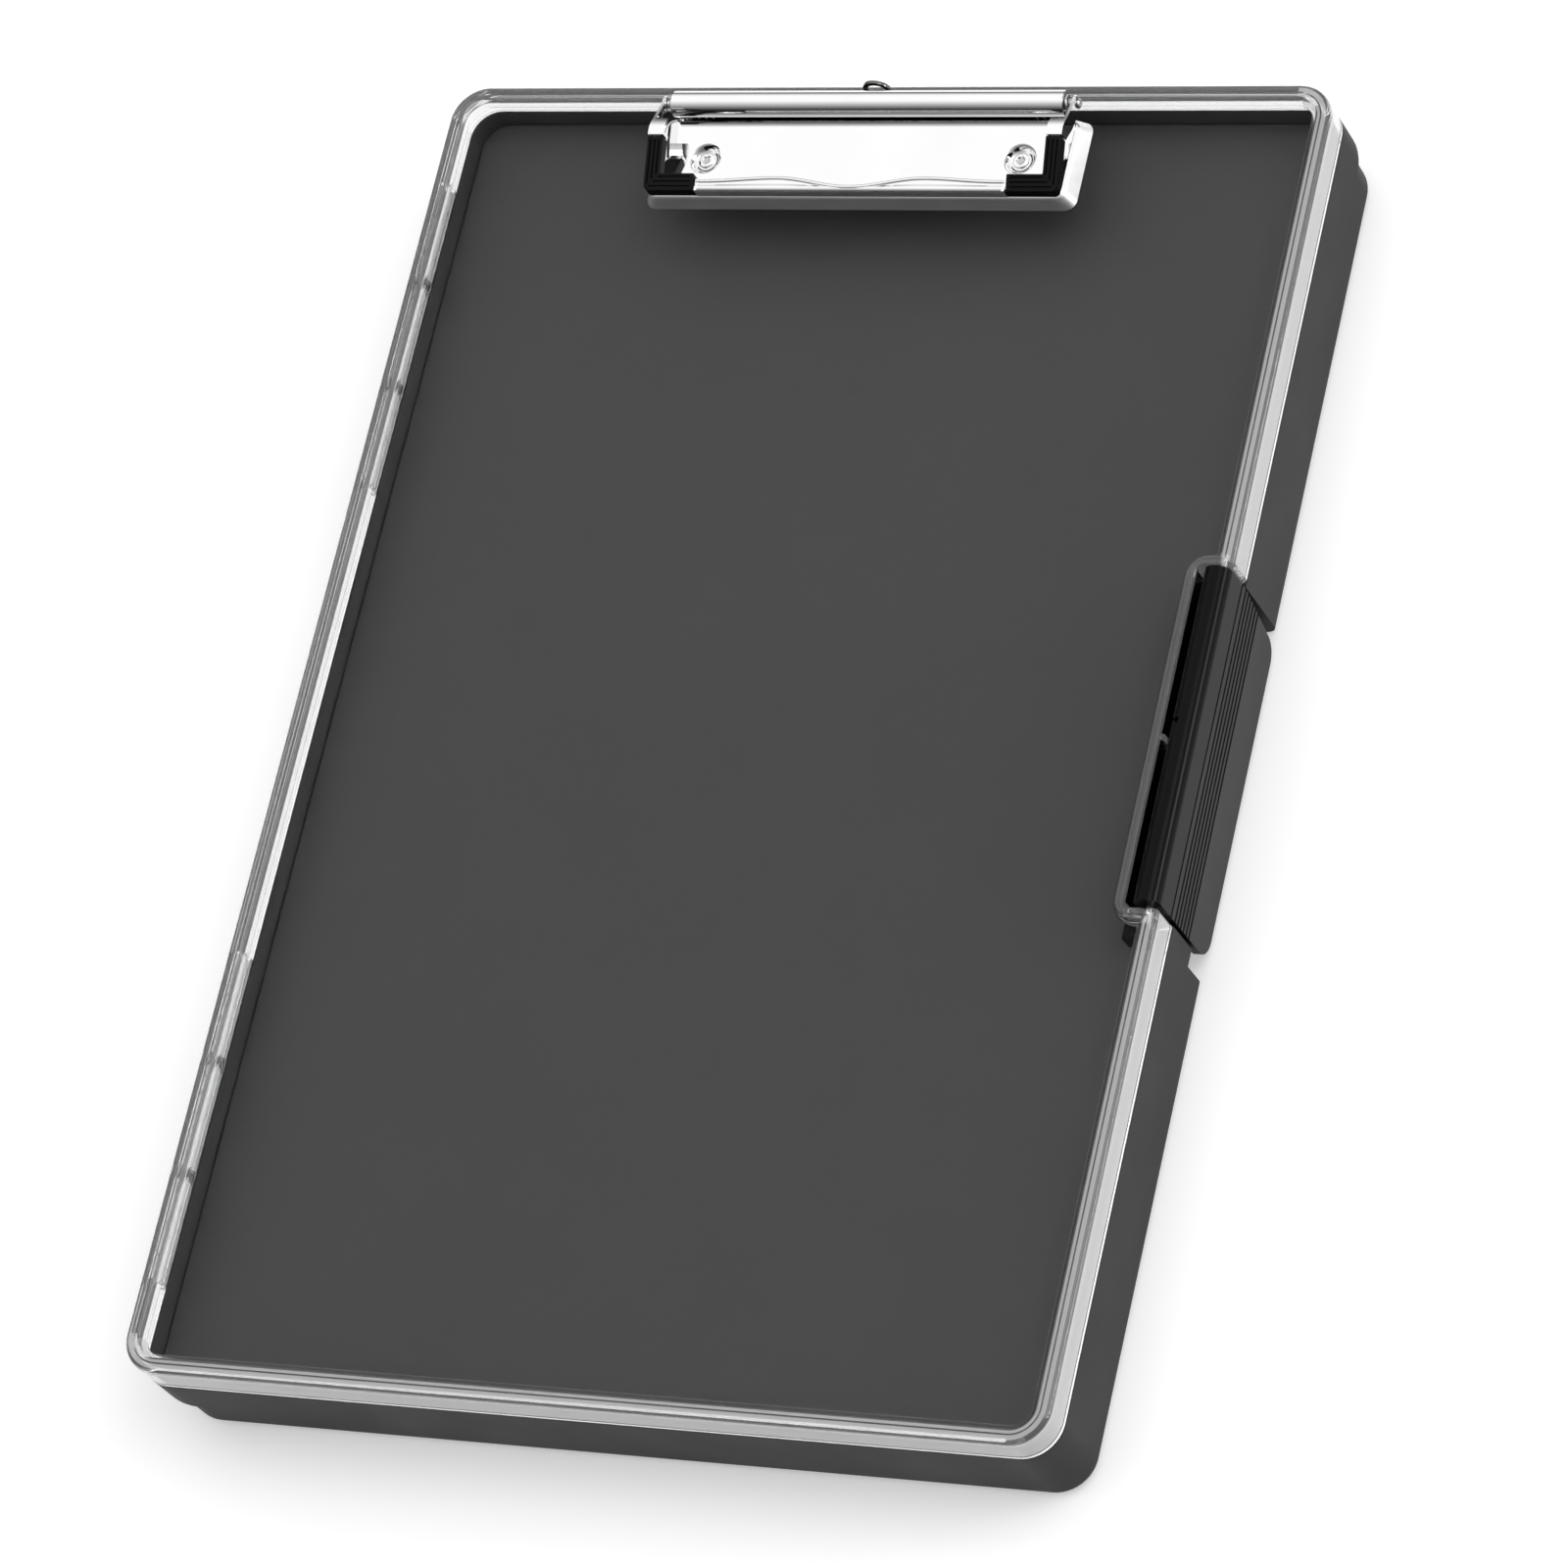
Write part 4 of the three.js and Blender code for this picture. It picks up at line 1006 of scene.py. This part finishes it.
finish_piece(base_tray(), "tray", "case", tray_finishes, "base_tray")
finish_piece(divider_deck(), "deck", "case", deck_and_painted_light_finish, "divider_deck")
finish_piece(clear_lid(), "lid", "lid", lid_finishes, "clear_lid")
for side_name, low, high in (("upper", HINGE_FROM, HINGE_TO), ("lower", -HINGE_TO, -HINGE_FROM)):
    rod = pin("y", HINGE_AT, HINGE_PIN_R, low + 0.5, high - 0.5)
    rod_name, node = f"hinge_rod_{side_name}", f"hinge_pin_{side_name}"
    finish_piece(rod, rod_name, "case", steel_finish, node)
finish_piece(latch_lever(), "latch", "latch", latch_finishes, "latch_lever")
pin_low, pin_high = NOTCH_Y0 - LATCH_PIN_PAST[0], NOTCH_Y1 + LATCH_PIN_PAST[1]
latch_rod = pin("y", LATCH_AT, LATCH_PIN_R, pin_low, pin_high)
finish_piece(latch_rod, "latch_rod", "lid", steel_finish, "latch_pin")
plate_finishes = [chrome_finish, satin_finish]
finish_piece(clip_plate(), "clip_plate", "lid", plate_finishes, "clip_base_plate")
finish_piece(clip_jaw(), "jaw_frame", "jaw", chrome_finish, "clip_jaw")
jaw_rod = pin("x", (0, ROLL_Y, ROLL_Z), ROD_R, -ROD_X, ROD_X)
finish_piece(jaw_rod, "jaw_rod", "lid", steel_finish, "jaw_pivot_rod")
for side_name, sign in (("left", -1), ("right", 1)):
    spring = coil(sign * COIL_OUTER_X, sign * (COIL_OUTER_X - COIL_LENGTH))
    node = f"jaw_spring_{side_name}"
    finish_piece(spring, f"coil_{side_name}", "lid", steel_finish, node, 60)
    pad = corner_pad() if sign > 0 else mirror_x(corner_pad())
    node = f"corner_pad_{side_name}"
    finish_piece(pad, f"pad_{side_name}", "jaw", pad_finish, node)
    stud_finishes = [chrome_finish, steel_finish]
    stud, node = rivet(sign * RIVET_X), f"rivet_{side_name}"
    finish_piece(stud, f"stud_{side_name}", "lid", stud_finishes, node)
    disc, node = washer(sign * RIVET_X), f"rivet_washer_{side_name}"
    finish_piece(disc, f"washer_{side_name}", "lid", steel_finish, node)
finish_piece(hang_tab(), "hanger", "hanger", hanger_finish, "hang_tab")
finish_piece(hang_tab_guide(), "hanger_guide", "lid", steel_finish, "hang_tab_guide")

# ---- studio -------------------------------------------------------------------------------------


def floor():
    bm = bmesh.new()
    half, depth = 6.0, -0.0005
    corners = [(-half, -half), (half, -half), (half, half), (-half, half)]
    bm.faces.new([bm.verts.new((x, y, depth)) for x, y in corners])
    obj = new_object("floor", bm)
    material, tree, principled, place = shader("studio_floor")
    mottle = noise(tree, place, 6, 2)
    paint = colours(tree, mottle, (0.89, 0.89, 0.89), (0.91, 0.91, 0.91))
    tree.links.new(paint, principled.inputs["Base Color"])
    principled.inputs["Roughness"].default_value = 0.9
    principled.inputs["Specular IOR Level"].default_value = 0.1
    principled.inputs["Emission Color"].default_value = (1, 1, 1, 1)
    principled.inputs["Emission Strength"].default_value = FLOOR_GLOW
    obj.data.materials.append(material)


def softbox(name, at, aim, width, height, power):
    lamp = bpy.data.lights.new(name, "AREA")
    lamp.shape = "RECTANGLE"
    lamp.size, lamp.size_y, lamp.energy = width, height, power
    obj = bpy.data.objects.new(name, lamp)
    obj.location = at
    obj.rotation_mode = "QUATERNION"
    obj.rotation_quaternion = (Vector(aim) - Vector(at)).to_track_quat("-Z", "Y")
    bpy.context.scene.collection.objects.link(obj)


def camera():
    lens = bpy.data.cameras.new("camera")
    lens.sensor_width, lens.lens = 36, CAMERA_LENS
    lens.clip_start, lens.clip_end = 0.05, 50
    obj = bpy.data.objects.new("camera", lens)
    at, aim = Vector(CAMERA_AT), Vector(CAMERA_AIM)
    roll = math.radians(CAMERA_ROLL)
    level = (aim - at).to_track_quat("-Z", "Y")
    obj.location = at
    obj.rotation_mode = "QUATERNION"
    obj.rotation_quaternion = level @ Quaternion((0, 0, 1), roll)
    bpy.context.scene.collection.objects.link(obj)
    bpy.context.scene.camera = obj


def sky():
    """A white tent overhead that falls off towards the horizon."""
    world = bpy.data.worlds.new("studio")
    world.use_nodes = True
    tree = world.node_tree
    place = tree.nodes.new("ShaderNodeTexCoord")
    split = tree.nodes.new("ShaderNodeSeparateXYZ")
    tree.links.new(place.outputs["Generated"], split.inputs[0])
    ramp = tree.nodes.new("ShaderNodeMapRange")
    ramp.interpolation_type = "SMOOTHSTEP"
    ramp.inputs["From Min"].default_value = 0.05
    ramp.inputs["From Max"].default_value = 0.7
    ramp.inputs["To Min"].default_value = HORIZON_LIGHT
    ramp.inputs["To Max"].default_value = ZENITH_LIGHT
    tree.links.new(split.outputs["Z"], ramp.inputs["Value"])
    sideways = tree.nodes.new("ShaderNodeMapRange")
    sideways.interpolation_type = "SMOOTHSTEP"
    sideways.inputs["From Min"].default_value = -0.9
    sideways.inputs["From Max"].default_value = 0.1
    sideways.inputs["To Min"].default_value = FRONT_LIGHT
    sideways.inputs["To Max"].default_value = 1
    tree.links.new(split.outputs["Y"], sideways.inputs["Value"])
    tree.links.new(sideways.outputs["Result"], tree.nodes["Background"].inputs["Color"])
    tree.links.new(ramp.outputs["Result"], tree.nodes["Background"].inputs["Strength"])
    bpy.context.scene.world = world
    bpy.context.scene.view_settings.view_transform = "Standard"


sky()
floor()
camera()
softbox("key", (1.3, 0.5, 2.2), (0, 0, 0), 1.2, 1.2, 8)
softbox("side", (2.2, 0.4, 0.6), (0, 0, 0), 1.4, 0.6, 20)
